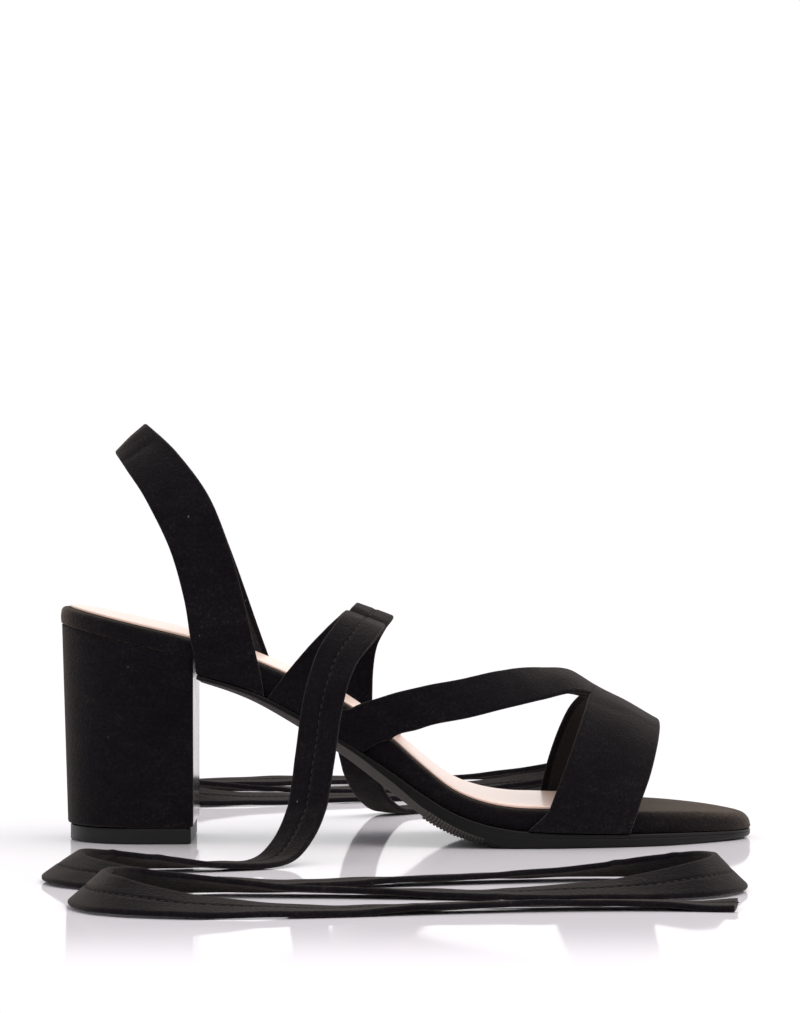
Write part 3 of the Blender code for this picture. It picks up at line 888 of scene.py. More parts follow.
def bevelled(x, share):
    """How far in and how high the bevel lies at x, at a share of its way down to the ground side."""
    foot = outsole_ground(x) + rib_cut(x)
    rise = np.minimum(bevel["rise"](x), BEVEL_MOST * (footbed["joint"](x) - GAP - foot))
    flat = BEVEL_FLAT * smooth((TREAD_FROM - x) / BEVEL_FADES)
    a = share * np.pi / 2
    inset = bevel["run"](x) * (flat * share + (1 - flat) * (1 - np.cos(a)))
    return inset, foot + rise * (1 - flat * share - (1 - flat) * np.sin(a))


# The outsole's stations behind its round toe: where each run starts and stops, and its step
OUTSOLE_RUNS = (
    (OUTSOLE_BACK, RIB_FROM - 0.4, 1.6),
    (RIB_FROM, RIB_TO + 0.1, 0.6),
    (RIB_TO + 1.0, HALF - TOE_ROUND - 0.5, 1.2),
)
# Levels of its upright side and of its bevel, and a fine groove round the side
SIDE_SHARES = (0.2, 0.3, 0.36, 0.42, 0.6, 0.8, 0.96)
BEVEL_SHARES = (0, 0.06, 0.2, 0.4, 0.6, 0.8, 0.94, 1)
GROOVE_DEPTH, GROOVE_AT, GROOVE_WIDTH = 0.22, 0.36, 0.05
TOP_ROUND_MOST = 0.2
# The flat margin round the tread, and the ramp down into the tread's field
MARGIN_LEAST, MARGIN_SHORT, FIELD_RAMP = 0.5, 0.4, 0.5


def build_outsole(finish, bevel_finish):
    """The moulded outsole: a lip round the straps, a bevelled ground edge and a sunk field for the tread."""
    stations = np.concatenate([*(np.arange(*run) for run in OUTSOLE_RUNS), toe_stations(70)])
    loop = footprint(stations, -outsole_lip(stations))
    x = loop[:, 0]
    head = footbed["joint"](x) - GAP
    foot = outsole_ground(x) + rib_cut(x)
    top_round = np.minimum(OUTSOLE_TOP_ROUND, TOP_ROUND_MOST * (head - foot))
    side_head, side_foot = head - top_round, bevelled(x, 0.0)[1]
    sections = [(inset, head - drop) for inset, drop in rounding(top_round, 5)]
    for share in SIDE_SHARES:
        groove = GROOVE_DEPTH * math.exp(-(((share - GROOVE_AT) / GROOVE_WIDTH) ** 2))
        sections.append((groove, side_head + share * (side_foot - side_head)))
    bevel_from = len(sections)
    sections += [bevelled(x, share) for share in BEVEL_SHARES]
    sections.append((np.maximum(bevel["run"](x) + MARGIN_LEAST, TREAD_INSET - MARGIN_SHORT), foot))
    rings = [at_height(moved_in(loop, inset), z) for inset, z in sections]

    def sunk(inside):
        here, y = inside[..., 0], inside[..., 1]
        outer, inner = edge_y(here, TREAD_INSET - OUTSOLE_LIP)
        from_edge = np.minimum(y - outer, inner - y)
        from_end = np.minimum(here - TREAD_FROM, TREAD_TO - here)
        inside[..., 2] += TREAD_DEPTH * np.clip(np.minimum(from_edge, from_end) / FIELD_RAMP, 0, 1)
        return inside

    piece = lay_shell("outsole_moulding", rings, finish, "outsole_rubber", "outsole", 40, sunk)
    # Bevel faces behind the ribs, which face the floor, take the finish with painted floor light
    piece.data.materials.append(bevel_finish)
    for number, share in enumerate(BEVEL_SHARES[1:], bevel_from):
        floor_lit_to = RIB_FIRST + rib_lean(RIB_FIRST) * (1 - share)
        for face in piece.data.polygons[number * len(x):(number + 1) * len(x)]:
            face.material_index = int(face.center.x < floor_lit_to * MM)
    return piece


# Places across each half of the heel's breast, as shares
BREAST_SHARES = np.linspace(0.04, 0.96, 14)


def heel_loop(inset, share):
    """A level loop round the heel block, with round corners at its breast: share is 1 at its foot."""
    taper = 1 + (HEEL_TAPER - 1) * share
    breast = BREAST_X - inset
    side_x = np.linspace(breast - BREAST_CORNER, -HALF + HEEL_ROUND, 16)
    run_x = np.concatenate([side_x, heel_stations(48)[::-1][1:]])
    back = np.maximum((BREAST_X - run_x) / (BREAST_X + HALF), 0)
    lean = (HEEL_BACK_LEAN * share + HEEL_INSET + inset) * back
    halves = []
    for side, edge in zip((-1, 1), edge_y(run_x, HEEL_INSET + inset)):
        run = np.stack([run_x + lean, edge * taper], axis=1)
        centre = run[0] - (0, side * BREAST_CORNER)
        arc = [centre + BREAST_CORNER * np.array((math.cos(a), side * math.sin(a))) for a in quarter(7)[:-1]]
        across = [(breast, arc[0][1] * part) for part in BREAST_SHARES]
        halves.append(np.concatenate([across, arc, run]))
    return np.concatenate([halves[0], halves[1][::-1]])


def build_heel(finish, breast_finish):
    """The suede-covered block, its cover turned in at the seat and at the foot, with a smooth breast."""
    foot = TIP_HEIGHT + GAP
    low = foot + HEEL_EDGE
    rings = [at_height(heel_loop(inset, 1.0), foot + rise) for inset, rise in rounding(HEEL_EDGE, 6)]
    for share in np.linspace(0, 1, 26)[1:]:
        level = heel_loop(0.0, 1 - share)
        high = seat_under(level[:, 0]) - GAP - HEEL_TOP_EDGE
        rings.append(at_height(level, low + share * (high - low)))
    for drop, inset in rounding(HEEL_TOP_EDGE, 5)[1:]:
        level = heel_loop(inset, 0.0)
        rings.append(at_height(level, seat_under(level[:, 0]) - GAP - drop))
    piece = lay_shell("heel_cover", rings, finish, "heel_suede", "heel_block", 16)
    piece.data.materials.append(breast_finish)
    for face in piece.data.polygons:
        face.material_index = int(face.normal.x > BREAST_FACES)
    return piece


TIP_LEVELS = (1.4, 2.7, 4.0, TIP_HEIGHT - 0.3)
TIP_TOP_INSET = TIP_INSET + 0.25


def build_top_piece(finish):
    """The rubber top piece that the heel stands on."""
    rings = [at_height(heel_loop(TIP_INSET + inset, 1.0), rise) for inset, rise in rounding(TIP_EDGE, 5)]
    rings += [at_height(heel_loop(TIP_INSET, 1.0), z) for z in TIP_LEVELS]
    rings.append(at_height(heel_loop(TIP_TOP_INSET, 1.0), TIP_HEIGHT))
    return lay_shell("heel_top_piece_rubber", rings, finish, "heel_rubber", "heel_top_piece", 16)


# Trees of nodes


def add(tree, kind, inputs=None, **settings):
    """Adds a node, with its settings, and sets or links its inputs."""
    node = tree.nodes.new(kind)
    for name, value in settings.items():
        setattr(node, name, value)
    for name, value in (inputs or {}).items():
        if isinstance(value, bpy.types.NodeSocket):
            tree.links.new(value, node.inputs[name])
        else:
            node.inputs[name].default_value = value
    return node


def line_tree(name, numbers):
    """A new tree of geometry nodes that takes lines and named numbers: it, its inputs and its curves."""
    tree = bpy.data.node_groups.new(name, "GeometryNodeTree")
    tree.interface.new_socket("Geometry", in_out="INPUT", socket_type="NodeSocketGeometry")
    for number in numbers:
        tree.interface.new_socket(number, in_out="INPUT", socket_type="NodeSocketFloat")
    tree.interface.new_socket("Geometry", in_out="OUTPUT", socket_type="NodeSocketGeometry")
    given = tree.nodes.new("NodeGroupInput").outputs
    return tree, given, add(tree, "GeometryNodeMeshToCurve", {"Mesh": given["Geometry"]}).outputs[0]


def end_tree(tree, instances, finish):
    """Makes the instances real, smooth and of one finish, and ends the tree."""
    real = add(tree, "GeometryNodeRealizeInstances", {"Geometry": instances})
    rounded = add(tree, "GeometryNodeSetShadeSmooth", {"Geometry": real.outputs[0]})
    painted = add(tree, "GeometryNodeSetMaterial", {"Geometry": rounded.outputs[0], "Material": finish})
    tree.links.new(painted.outputs[0], tree.nodes.new("NodeGroupOutput").inputs[0])
    return tree


def stitch_tree(finish):
    """Stitches along lines: one every pitch, each a short round of thread that lies along its line."""
    tree, given, lines = line_tree("stitch_row", ("Pitch", "Stitch length", "Thread"))
    spacing = {"Curve": lines, "Length": given["Pitch"]}
    spaced = add(tree, "GeometryNodeResampleCurve", spacing, mode="LENGTH")
    stitch = add(tree, "GeometryNodeMeshUVSphere", {"Segments": 6, "Rings": 5, "Radius": 0.5})
    sizes = {"X": given["Stitch length"], "Y": given["Thread"], "Z": given["Thread"]}
    ahead = add(tree, "GeometryNodeInputTangent")
    turned = add(tree, "FunctionNodeAlignRotationToVector", {"Vector": ahead.outputs[0]}, axis="X")
    row = {
        "Points": spaced.outputs[0],
        "Instance": stitch.outputs["Mesh"],
        "Rotation": turned.outputs[0],
        "Scale": add(tree, "ShaderNodeCombineXYZ", sizes).outputs[0],
    }
    return end_tree(tree, add(tree, "GeometryNodeInstanceOnPoints", row).outputs[0], finish)


def rib_tree(finish):
    """Ribs of the sole: a round bar along each line."""
    tree, given, lines = line_tree("sole_ribs", ("Rib radius",))
    ring = add(tree, "GeometryNodeCurvePrimitiveCircle", {"Resolution": 10, "Radius": given["Rib radius"]})
    bar = {"Curve": lines, "Profile Curve": ring.outputs["Curve"], "Fill Caps": True}
    return end_tree(tree, add(tree, "GeometryNodeCurveToMesh", bar).outputs[0], finish)


def build_rows(name, lines, tree, numbers, slot):
    """The plain piece that a tree makes along lines, with its numbers in millimetres."""
    base = bpy.data.meshes.new(name + "_lines")
    edges, start = [], 0
    for line in lines:
        edges += [(start + i, start + i + 1) for i in range(len(line) - 1)]
        start += len(line)
    base.from_pydata(np.concatenate(lines) * MM, edges, [])
    carrier = bpy.data.objects.new(name + "_base", base)
    bpy.context.scene.collection.objects.link(carrier)
    modifier = carrier.modifiers.new(tree.name, "NODES")
    modifier.node_group = tree
    for item in tree.interface.items_tree:
        if item.in_out == "INPUT" and item.name in numbers:
            modifier[item.identifier] = numbers[item.name] * MM
    graph = bpy.context.evaluated_depsgraph_get()
    mesh = bpy.data.meshes.new_from_object(carrier.evaluated_get(graph), depsgraph=graph)
    bpy.data.objects.remove(carrier)
    mesh.name = name
    return place(bpy.data.objects.new(name, mesh), slot)


STITCHES = {"Pitch": STITCH_PITCH, "Stitch length": STITCH_LENGTH, "Thread": THREAD}
# Places of a rib's line down the bevel
RIB_SHARES = np.linspace(0.05, 1, 6)


def shank_ribs():
    """A line for each rib behind the ball: down the outer bevel, across, and up the inner bevel."""
    lines = []
    for foot in np.arange(RIB_FIRST, RIB_LAST, RIB_PITCH):
        sides = []
        for share in RIB_SHARES:
            x = foot + rib_lean(foot) * (1 - share)
            inset, z = bevelled(x, share)
            sides.append((x, edge_y(x, inset - outsole_lip(x)), z + RIB_SUNK))
        line = [(x, y[0], z) for x, y, z in sides] + [(x, y[1], z) for x, y, z in sides[::-1]]
        lines.append(np.array(line, float))
    return lines


def tread_ribs():
    """A line for each rib across the tread's sunk field."""
    x = np.arange(TREAD_FIRST, TREAD_LAST, TREAD_PITCH)
    z = outsole_ground(x) + TREAD_RIB
    sides = [np.stack([x, y, z], axis=1) for y in edge_y(x, TREAD_INSET - outsole_lip(x))]
    return list(np.stack(sides, axis=1))


# Materials


def new_finish(name, constants):
    """A material whose shader has its constant sockets set: it, its tree and its Object coordinates."""
    finish = bpy.data.materials.new(name)
    finish.use_nodes = True
    tree = finish.node_tree
    for socket, value in constants.items():
        tree.nodes["Principled BSDF"].inputs[socket].default_value = value
    return finish, tree, add(tree, "ShaderNodeTexCoord").outputs["Object"]


def dress(tree, colour, roughness, layers):
    """Links colour, roughness and bumps, each by its height, its depth in millimetres and its strength."""
    below = {}
    for height, depth, strength in layers:
        inputs = {"Height": height, "Distance": depth * MM, "Strength": strength, **below}
        below = {"Normal": add(tree, "ShaderNodeBump", inputs).outputs["Normal"]}
    for socket, value in {"Base Color": colour, "Roughness": roughness, **below}.items():
        tree.links.new(value, tree.nodes["Principled BSDF"].inputs[socket])


def calc(tree, operation, first, second):
    """The result of one operation on two values."""
    return add(tree, "ShaderNodeMath", {0: first, 1: second}, operation=operation).outputs[0]


def axes(tree, vector):
    """A vector's X, Y and Z."""
    return add(tree, "ShaderNodeSeparateXYZ", {"Vector": vector}).outputs


def mapped(tree, vector, **change):
    """Coordinates that are moved, turned or scaled."""
    return add(tree, "ShaderNodeMapping", {"Vector": vector, **change}).outputs["Vector"]


def noise(tree, vector, scale, detail, roughness, distortion=0.0):
    """Noise from 0 to 1 with so many grains to the metre."""
    names = ("Vector", "Scale", "Detail", "Roughness", "Distortion")
    inputs = dict(zip(names, (vector, scale, detail, roughness, distortion)))
    return add(tree, "ShaderNodeTexNoise", inputs).outputs["Fac"]


def blend_of(tree, *parts):
    """The sum of several values, each by its weight."""
    total = None
    for value, weight in parts:
        term = calc(tree, "MULTIPLY", value, weight)
        total = term if total is None else calc(tree, "ADD", total, term)
    return total


def ramp(tree, value, stops):
    """A colour by value, between stops of a position and a colour."""
    node = add(tree, "ShaderNodeValToRGB", {"Fac": value})
    elements = node.color_ramp.elements
    while len(elements) < len(stops):
        elements.new(0.5)
    for element, (position, colour) in zip(elements, stops):
        element.position = position
        element.color = (*colour, 1.0)
    return node.outputs["Color"]


def spread(tree, value, low, high):
    """A value from 0.25 to 0.75 spread from low to high."""
    inputs = {"Value": value, "From Min": 0.25, "From Max": 0.75, "To Min": low, "To Max": high}
    return add(tree, "ShaderNodeMapRange", inputs).outputs["Result"]


def eased(tree, value, start, end):
    """0 below a start and 1 above an end, in millimetres, with a smooth rise between."""
    inputs = {"Value": value, "From Min": start * MM, "From Max": end * MM}
    return add(tree, "ShaderNodeMapRange", inputs, interpolation_type="SMOOTHSTEP").outputs["Result"]


def mixed_colour(tree, share, colour, other):
    """A colour that gives way to another by a share."""
    return add(tree, "ShaderNodeMix", {0: share, 6: colour, 7: other}, data_type="RGBA").outputs[2]


SUEDE_SHEEN, BOARD_SHEEN = 0.15, 0.29
SUEDE_SHEEN_ROUGHNESS = 0.40
SUEDE_SHEEN_TINT, BOARD_SHEEN_TINT = (1.0, 0.88, 0.79, 1.0), (1.0, 0.81, 0.67, 1.0)
SUEDE_TONES = (
    (0.38, (0.0038, 0.0031, 0.0046)),
    (0.50, (0.0068, 0.0057, 0.0077)),
    (0.58, (0.0108, 0.0092, 0.0110)),
    (0.66, (0.0260, 0.0226, 0.0230)),
)
# Painted highlight on the platform's top: the nap lighter and browner towards the tip of the toe, as where
# light from above catches it
TOE_TOP_LIGHT_TONES = (
    (0.36, (0.0050, 0.0042, 0.0040)),
    (0.47, (0.0095, 0.0078, 0.0070)),
    (0.55, (0.0190, 0.0154, 0.0130)),
    (0.64, (0.0540, 0.0440, 0.0360)),
)
TOE_TOP_LIGHT_FROM, TOE_TOP_LIGHT_TO = 74.0, 100.0
# The painted highlight lies only on the top, which falls towards the tip: the fall, and the heights with the
# fall taken off
TOE_TOP_LIGHT_FALL = 0.08
TOE_TOP_LIGHT_OVER, TOE_TOP_LIGHT_FULL = 15.4, 17.0
# Lint: one place in so many millimetres each way, the size of a fibre there, its solid core and its colour
LINT_SPACING, LINT_SIZE, LINT_CORE = 8.0, 0.28, 0.4
LINT_COLOUR = (0.14, 0.13, 0.13, 1.0)


def lint(tree, vector):
    """Where a few short light fibres cling to the nap, from 0 to 1."""
    drawn_out = mapped(tree, vector, Scale=(1.0, 1.0, 0.5))
    places = add(tree, "ShaderNodeTexVoronoi", {"Vector": drawn_out, "Scale": 1 / (LINT_SPACING * MM)})
    size = LINT_SIZE / LINT_SPACING
    inputs = {"Value": places.outputs["Distance"], "From Min": size, "From Max": LINT_CORE * size}
    return add(tree, "ShaderNodeMapRange", inputs).outputs["Result"]


def suede(name, place_of_grain, sheen=SUEDE_SHEEN, tint=SUEDE_SHEEN_TINT, painted_toe_light=False):
    """Black suede: a fine nap that lies this way and that, with light flecks where fibres stand up."""
    constants = {
        "Specular IOR Level": 0.06,
        "Sheen Weight": sheen,
        "Sheen Roughness": SUEDE_SHEEN_ROUGHNESS,
        "Sheen Tint": tint,
    }
    finish, tree, whole = new_finish(name, constants)
    vector = mapped(tree, whole, Location=place_of_grain)
    stroked = mapped(tree, vector, Rotation=(0.2, 0.5, 0.9), Scale=(0.35, 1.0, 1.0))
    grain = noise(tree, vector, 1150.0, 2.0, 0.6)
    fibres = noise(tree, stroked, 2300.0, 3.0, 0.65, 0.6)
    nap = noise(tree, stroked, 170.0, 3.0, 0.55, 1.4)
    strokes = noise(tree, vector, 34.0, 2.0, 0.5, 0.8)
    tone = blend_of(tree, (grain, 0.42), (fibres, 0.20), (nap, 0.20), (strokes, 0.18))
    colour = ramp(tree, tone, SUEDE_TONES)
    # Painted highlight: the toe's top lighter and browner towards its tip
    if painted_toe_light:
        at = axes(tree, whole)
        along = eased(tree, at["X"], TOE_TOP_LIGHT_FROM, TOE_TOP_LIGHT_TO)
        level = blend_of(tree, (at["Z"], 1.0), (at["X"], TOE_TOP_LIGHT_FALL))
        high = eased(tree, level, TOE_TOP_LIGHT_OVER, TOE_TOP_LIGHT_FULL)
        streaked = mapped(tree, whole, Scale=(1.0, 0.5, 1.0))
        lit_grain = blend_of(tree, (noise(tree, streaked, 1700.0, 2.0, 0.6), 0.6), (tone, 0.4))
        share = calc(tree, "MULTIPLY", along, high)
        colour = mixed_colour(tree, share, colour, ramp(tree, lit_grain, TOE_TOP_LIGHT_TONES))
    colour = mixed_colour(tree, lint(tree, vector), colour, LINT_COLOUR)
    layers = [(nap, 0.15, 0.3), (grain, 0.32, 0.75), (fibres, 0.18, 0.8)]
    dress(tree, colour, spread(tree, fibres, 0.84, 1.0), layers)
    return finish


LINING_TONES = ((0.3, (0.0060, 0.0054, 0.0058)), (0.7, (0.0145, 0.0130, 0.0134)))


def lining_cloth(name):
    """Smooth black microfibre on the inside of the straps."""
    constants = {"Specular IOR Level": 0.2, "Sheen Weight": 0.15, "Sheen Roughness": 0.5}
    finish, tree, vector = new_finish(name, constants)
    grain = noise(tree, vector, 1500.0, 3.0, 0.6)
    cloud = noise(tree, vector, 70.0, 3.0, 0.5)
    colour = ramp(tree, blend_of(tree, (grain, 0.5), (cloud, 0.5)), LINING_TONES)
    dress(tree, colour, spread(tree, grain, 0.7, 0.9), [(cloud, 0.2, 0.2), (grain, 0.08, 0.5)])
    return finish


PEACH_TONES = ((0.28, (0.95, 0.64, 0.53)), (0.72, (1.00, 0.76, 0.64)))


def sock_leather(name):
    """Peach synthetic leather with a fine pressed grain."""
    constants = {"Specular IOR Level": 0.6, "Coat Weight": 0.4, "Coat Roughness": 0.14}
    finish, tree, vector = new_finish(name, constants)
    pores = add(tree, "ShaderNodeTexVoronoi", {"Vector": vector, "Scale": 1100.0}).outputs["Distance"]
    cloud = noise(tree, vector, 60.0, 4.0, 0.55)
    fine = noise(tree, vector, 1600.0, 2.0, 0.5)
    colour = ramp(tree, blend_of(tree, (cloud, 0.7), (fine, 0.3)), PEACH_TONES)
    dress(tree, colour, spread(tree, cloud, 0.30, 0.45), [(cloud, 0.15, 0.2), (pores, 0.06, 0.55)])
    return finish


OUTSOLE_TONES = ((0.3, (0.0036, 0.0032, 0.0034)), (0.7, (0.0080, 0.0071, 0.0072)))
# Painted floor light on the outsole's bevel behind the ribs and on the shank ribs, which face the floor:
# lighter and greyer towards the heel
FLOOR_LIGHT_TONES = ((0.3, (0.058, 0.051, 0.047)), (0.7, (0.094, 0.084, 0.078)))
FLOOR_LIGHT_FADES = (RIB_FROM, RIB_TO + 6.0)
TOP_PIECE_TONES = ((0.3, (0.0050, 0.0046, 0.0054)), (0.7, (0.0100, 0.0092, 0.0104)))


def rubber(name, tones, roughness, gloss=0.30, floor_lit=False):
    """Moulded black rubber with faint flow marks and a soft gloss. With painted floor light, it is lighter
    and greyer towards the heel.
    """
    finish, tree, vector = new_finish(name, {"Specular IOR Level": gloss})
    fine = noise(tree, vector, 1300.0, 3.0, 0.6)
    cloud = noise(tree, vector, 90.0, 4.0, 0.6, 0.5)
    tone = blend_of(tree, (fine, 0.4), (cloud, 0.6))
    colour = ramp(tree, tone, tones)
    if floor_lit:
        share = eased(tree, axes(tree, vector)["X"], *FLOOR_LIGHT_FADES)
        colour = mixed_colour(tree, share, ramp(tree, tone, FLOOR_LIGHT_TONES), colour)
    dress(tree, colour, spread(tree, cloud, *roughness), [(cloud, 0.12, 0.2), (fine, 0.05, 0.45)])
    return finish


THREAD_TONES = ((0.3, (0.010, 0.009, 0.010)), (0.7, (0.030, 0.027, 0.028)))


def sewing_thread(name):
    """Twisted black thread."""
    finish, tree, vector = new_finish(name, {"Specular IOR Level": 0.3})
    twist = noise(tree, vector, 2600.0, 2.0, 0.5)
    dress(tree, ramp(tree, twist, THREAD_TONES), spread(tree, twist, 0.55, 0.8), [(twist, 0.08, 0.6)])
    return finish


# Studio

WHITE = (1.0, 1.0, 1.0, 1.0)
# The floor under a glossy sheet, whose front edge fades out in front of the ties
FLOOR_HALF = 9000.0
FLOOR_COLOUR = (0.81, 0.785, 0.84, 1.0)
SHEET_GLOSS, SHEET_IOR, SHEET_ROUGHNESS = 0.68, 1.45, 0.05
SHEET_EDGE = (-380.0, -264.0)
# Brightness of the studio's walls: all round, and more towards the ceiling, the back and the toe's side
WALL_GLOW, CEILING_GLOW, BACK_GLOW, TOE_SIDE_GLOW = 0.30, 0.75, 0.70, 0.25
BACKDROP_GLOW = 1.02
# Soft light from above: where it shines to, its strength, its angle across in degrees and its colour
TOP_LIGHT_HEADING = (-0.50, 0.10, -1.0)
TOP_LIGHT_STRENGTH, TOP_LIGHT_ANGLE = 1.1, 50.0
TOP_LIGHT_COLOUR = (1.0, 0.91, 0.82)


def into_scene(name, data):
    """A new object in the scene."""
    item = bpy.data.objects.new(name, data)
    bpy.context.scene.collection.objects.link(item)
    return item


def make_camera():
    """A camera at the photograph's place, level along +Y."""
    data = bpy.data.cameras.new("photo_camera")
    data.sensor_fit = "AUTO"
    data.sensor_width = SENSOR
    data.lens = FOCAL_PIXELS / PHOTO_HEIGHT * SENSOR
    data.shift_y = (EYE_ROW - PHOTO_HEIGHT / 2) / PHOTO_HEIGHT
    data.clip_start, data.clip_end = 0.05, 60.0
    camera = into_scene("photo_camera", data)
    camera.location = [value * MM for value in EYE]
    camera.rotation_euler = (math.pi / 2, 0.0, 0.0)
    bpy.context.scene.camera = camera


def emptied_tree(owner):
    """The node tree of a material or world, without its first nodes."""
    owner.use_nodes = True
    owner.node_tree.nodes.clear()
    return owner.node_tree


def end_with_mix(tree, share, first, second, output):
    """Mixes two shaders by a share and ends the tree with them."""
    both = add(tree, "ShaderNodeMixShader", {"Fac": share, 1: first.outputs[0], 2: second.outputs[0]})
    tree.links.new(both.outputs[0], tree.nodes.new(output).inputs["Surface"])


def make_floor():
    """A pale floor with a glossy sheet on it."""
    finish = bpy.data.materials.new("studio_floor")
    tree = emptied_tree(finish)
    at = axes(tree, add(tree, "ShaderNodeTexCoord").outputs["Object"])
    glancing = add(tree, "ShaderNodeFresnel", {"IOR": SHEET_IOR}).outputs[0]
    matt = add(tree, "ShaderNodeBsdfDiffuse", {"Color": FLOOR_COLOUR})
    gloss = add(tree, "ShaderNodeBsdfGlossy", {"Color": WHITE, "Roughness": SHEET_ROUGHNESS})
    sheet = calc(tree, "MULTIPLY", eased(tree, at["Y"], *SHEET_EDGE), glancing)
    end_with_mix(tree, calc(tree, "MULTIPLY", sheet, SHEET_GLOSS), matt, gloss, "ShaderNodeOutputMaterial")
    mesh = bpy.data.meshes.new("studio_floor")
    corners = [(x * FLOOR_HALF * MM, y * FLOOR_HALF * MM, 0) for x, y in ((-1, -1), (1, -1), (1, 1), (-1, 1))]
    mesh.from_pydata(corners, [], [(0, 1, 2, 3)])
    mesh.materials.append(finish)
    into_scene("studio_floor", mesh)


def make_light_and_world():
    """A white room, dimmer at the camera's side and at the heel's, with soft light from above."""
    world = bpy.data.worlds.new("studio_white")
    tree = emptied_tree(world)
    heading = axes(tree, add(tree, "ShaderNodeTexCoord").outputs["Generated"])
    parts = []
    for axis, glow in (("X", TOE_SIDE_GLOW), ("Y", BACK_GLOW), ("Z", CEILING_GLOW)):
        parts.append((calc(tree, "MAXIMUM", heading[axis], 0.0), glow))
    glow = calc(tree, "ADD", blend_of(tree, *parts), WALL_GLOW)
    room = add(tree, "ShaderNodeBackground", {"Color": WHITE, "Strength": glow})
    backdrop = add(tree, "ShaderNodeBackground", {"Color": WHITE, "Strength": BACKDROP_GLOW})
    seen = add(tree, "ShaderNodeLightPath").outputs["Is Camera Ray"]
    end_with_mix(tree, seen, room, backdrop, "ShaderNodeOutputWorld")
    bpy.context.scene.world = world
    sun = bpy.data.lights.new("top_light", "SUN")
    sun.energy, sun.angle, sun.color = TOP_LIGHT_STRENGTH, math.radians(TOP_LIGHT_ANGLE), TOP_LIGHT_COLOUR
    lamp = into_scene("top_light", sun)
    lamp.rotation_euler = Vector(TOP_LIGHT_HEADING).to_track_quat("-Z", "Y").to_euler()
    bpy.context.scene.view_settings.view_transform = "Standard"
    bpy.context.scene.view_settings.look = "None"


# Assembly. Each soft piece has a step along it, a rise in the middle of its face, columns between its
# edges, and a faint unevenness by height and wave length.
TIE_STRIDE, TIE_CROWN, TIE_COLUMNS, TIE_WAVE = 1.4, 0.15, 17, (0.10, 37.0)
BAND_STRIDE, BAND_CROWN, BAND_COLUMNS, BAND_WAVE = 0.9, 0.2, 30, (0.05, 46.0)
INSTEP_STRIDE, INSTEP_CROWN, INSTEP_COLUMNS, INSTEP_WAVE = 0.8, 0.25, 13, (0.06, 33.0)
SLING_STRIDE, SLING_CROWN, SLING_COLUMNS, SLING_WAVE = 0.9, 0.25, 17, (0.06, 41.0)
TIE_LEAST_HEIGHT = 0.15


def build_ties(finish, sewing):
    """The two ties, each a sewn suede tape laid out in place, and the stitches of their seams."""
    half = TIE_WALL / 2
    routes = (("outer", TIE_DROP_OUTER, TIE_FLOOR_OUTER), ("inner", TIE_DROP_INNER, TIE_FLOOR_INNER))
    seams = []
    for side, drop, floor in routes:
        grid = tie_grid(drop, floor, side == "inner")
        relief = crease_relief(TIE_CREASES, *TIE_WAVE)
        tie = Strap(grid_surface(grid), (0, len(grid) - 1), TIE_STRIDE, -half, half, relief)
        name, shape = f"tie_{side}_tape", (TIE_CROWN, seamed_back, TIE_COLUMNS, TIE_LEAST_HEIGHT)
        piece = lay_strap(name, tie, [finish], "tie_suede", f"tie_{side}", *shape)
        centre = tie.line_at(0.5, 0.0)
        seams.append(tie.line_at(0.5, -half + 0.5 * SEAM_DEPTH))
    build_rows("tie_seam_stitches", seams, sewing, STITCHES, "tie_suede")


def instep_heights(lift, rise):
    """An instep strap's low and high side by row: at the crossing it rises, and its wall is thinner."""

    def crossing(row):
        return smooth((row - CROSSING_FROM) / (CROSSING_TO - CROSSING_FROM))

    def low(row):
        return lift + rise * crossing(row)

    def high(row):
        return low(row) + STRAP_WALL - (STRAP_WALL - CROSSING_WALL) * crossing(row)

    return low, high


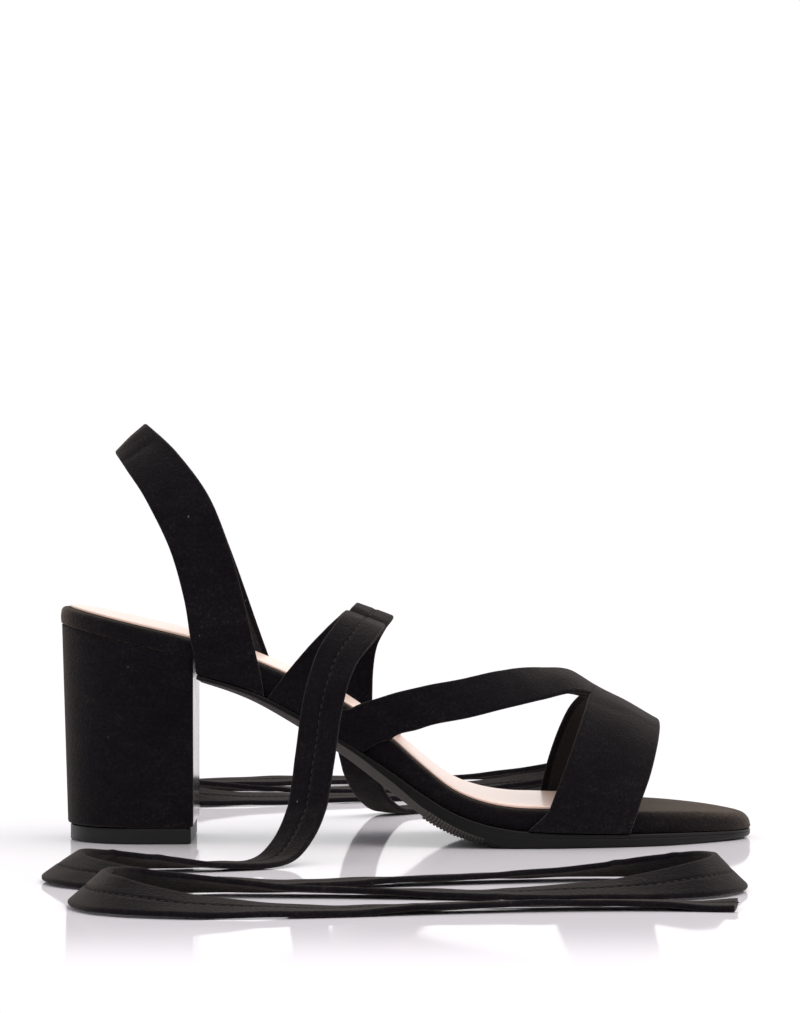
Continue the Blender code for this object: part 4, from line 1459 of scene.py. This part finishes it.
def build_straps(outside, inside, sewing):
    """The toe band, the two instep straps and the sling, and the stitches of their linings."""
    straps = []

    def lined_strap(name, strap, node, crown, columns):
        lay_strap(name, strap, [outside, inside], "strap_suede", node, crown, lined_back, columns)
        straps.append(strap)

    relief = crease_relief(BAND_CREASES, *BAND_WAVE)
    turns = (-RIM_TURN, 1 + RIM_TURN)
    band = Strap(band_surface, turns, BAND_STRIDE, BAND_LIFT, BAND_LIFT + BAND_WALL, relief)
    lined_strap("toe_band", band, "upper", BAND_CROWN, BAND_COLUMNS)
    relief = crease_relief(INSTEP_CREASES, *INSTEP_WAVE)
    rows = (0, len(INSTEP["upper_x"]) - 1)
    for side, *lifts in (("outer", 0.0, CROSSING_LIFT), ("inner", INNER_LIFT, 0.0)):
        surface = edged_surface(INSTEP, side == "inner")
        strap = Strap(surface, rows, INSTEP_STRIDE, *instep_heights(*lifts), relief)
        lined_strap(f"instep_strap_{side}", strap, "upper", INSTEP_CROWN, INSTEP_COLUMNS)
    grid = sling_grid()
    rows = (0, len(grid) - 1)
    relief = crease_relief(SLING_CREASES, *SLING_WAVE)
    sling = Strap(grid_surface(grid), rows, SLING_STRIDE, SLING_LIFT, SLING_LIFT + STRAP_WALL, relief)
    lined_strap("heel_sling_strap", sling, "heel_sling", SLING_CROWN, SLING_COLUMNS)
    lines = []
    for strap in straps:
        for edge in (LINING_STITCH_INSET, -LINING_STITCH_INSET):
            lines.append(strap.line(edge, strap.low + LINING_SUNK))
    build_rows("lining_stitches", lines, sewing, STITCHES, "strap_suede")


def main():
    make_camera()
    make_floor()
    make_light_and_world()
    sewing = stitch_tree(sewing_thread("black_thread"))
    build_ties(suede("tie_suede", (0.31, 0.12, 0.0)), sewing)
    build_straps(suede("strap_suede", (0.0, 0.0, 0.0)), lining_cloth("strap_lining"), sewing)
    # The platform's suede carries the painted highlight on the toe's top
    build_platform(suede("platform_suede", (0.07, 0.4, 0.2), BOARD_SHEEN, BOARD_SHEEN_TINT, True))
    build_sock(sock_leather("peach_sock"))
    sole = rubber("outsole_rubber", OUTSOLE_TONES, (0.36, 0.5), 0.20)
    # Rubber with painted floor light, for the bevel behind the ribs and the shank ribs
    floor_lit = rubber("floor_lit_rubber", OUTSOLE_TONES, (0.45, 0.6), floor_lit=True)
    build_outsole(sole, floor_lit)
    build_rows("shank_ribs", shank_ribs(), rib_tree(floor_lit), {"Rib radius": RIB_RADIUS}, "outsole_rubber")
    build_rows("tread_ribs", tread_ribs(), rib_tree(sole), {"Rib radius": TREAD_RIB}, "outsole_rubber")
    breast = rubber("breast_cover", OUTSOLE_TONES, (0.10, 0.18))
    build_heel(suede("heel_suede", (0.5, 0.23, 0.11)), breast)
    build_top_piece(rubber("heel_rubber", TOP_PIECE_TONES, (0.38, 0.52)))


main()
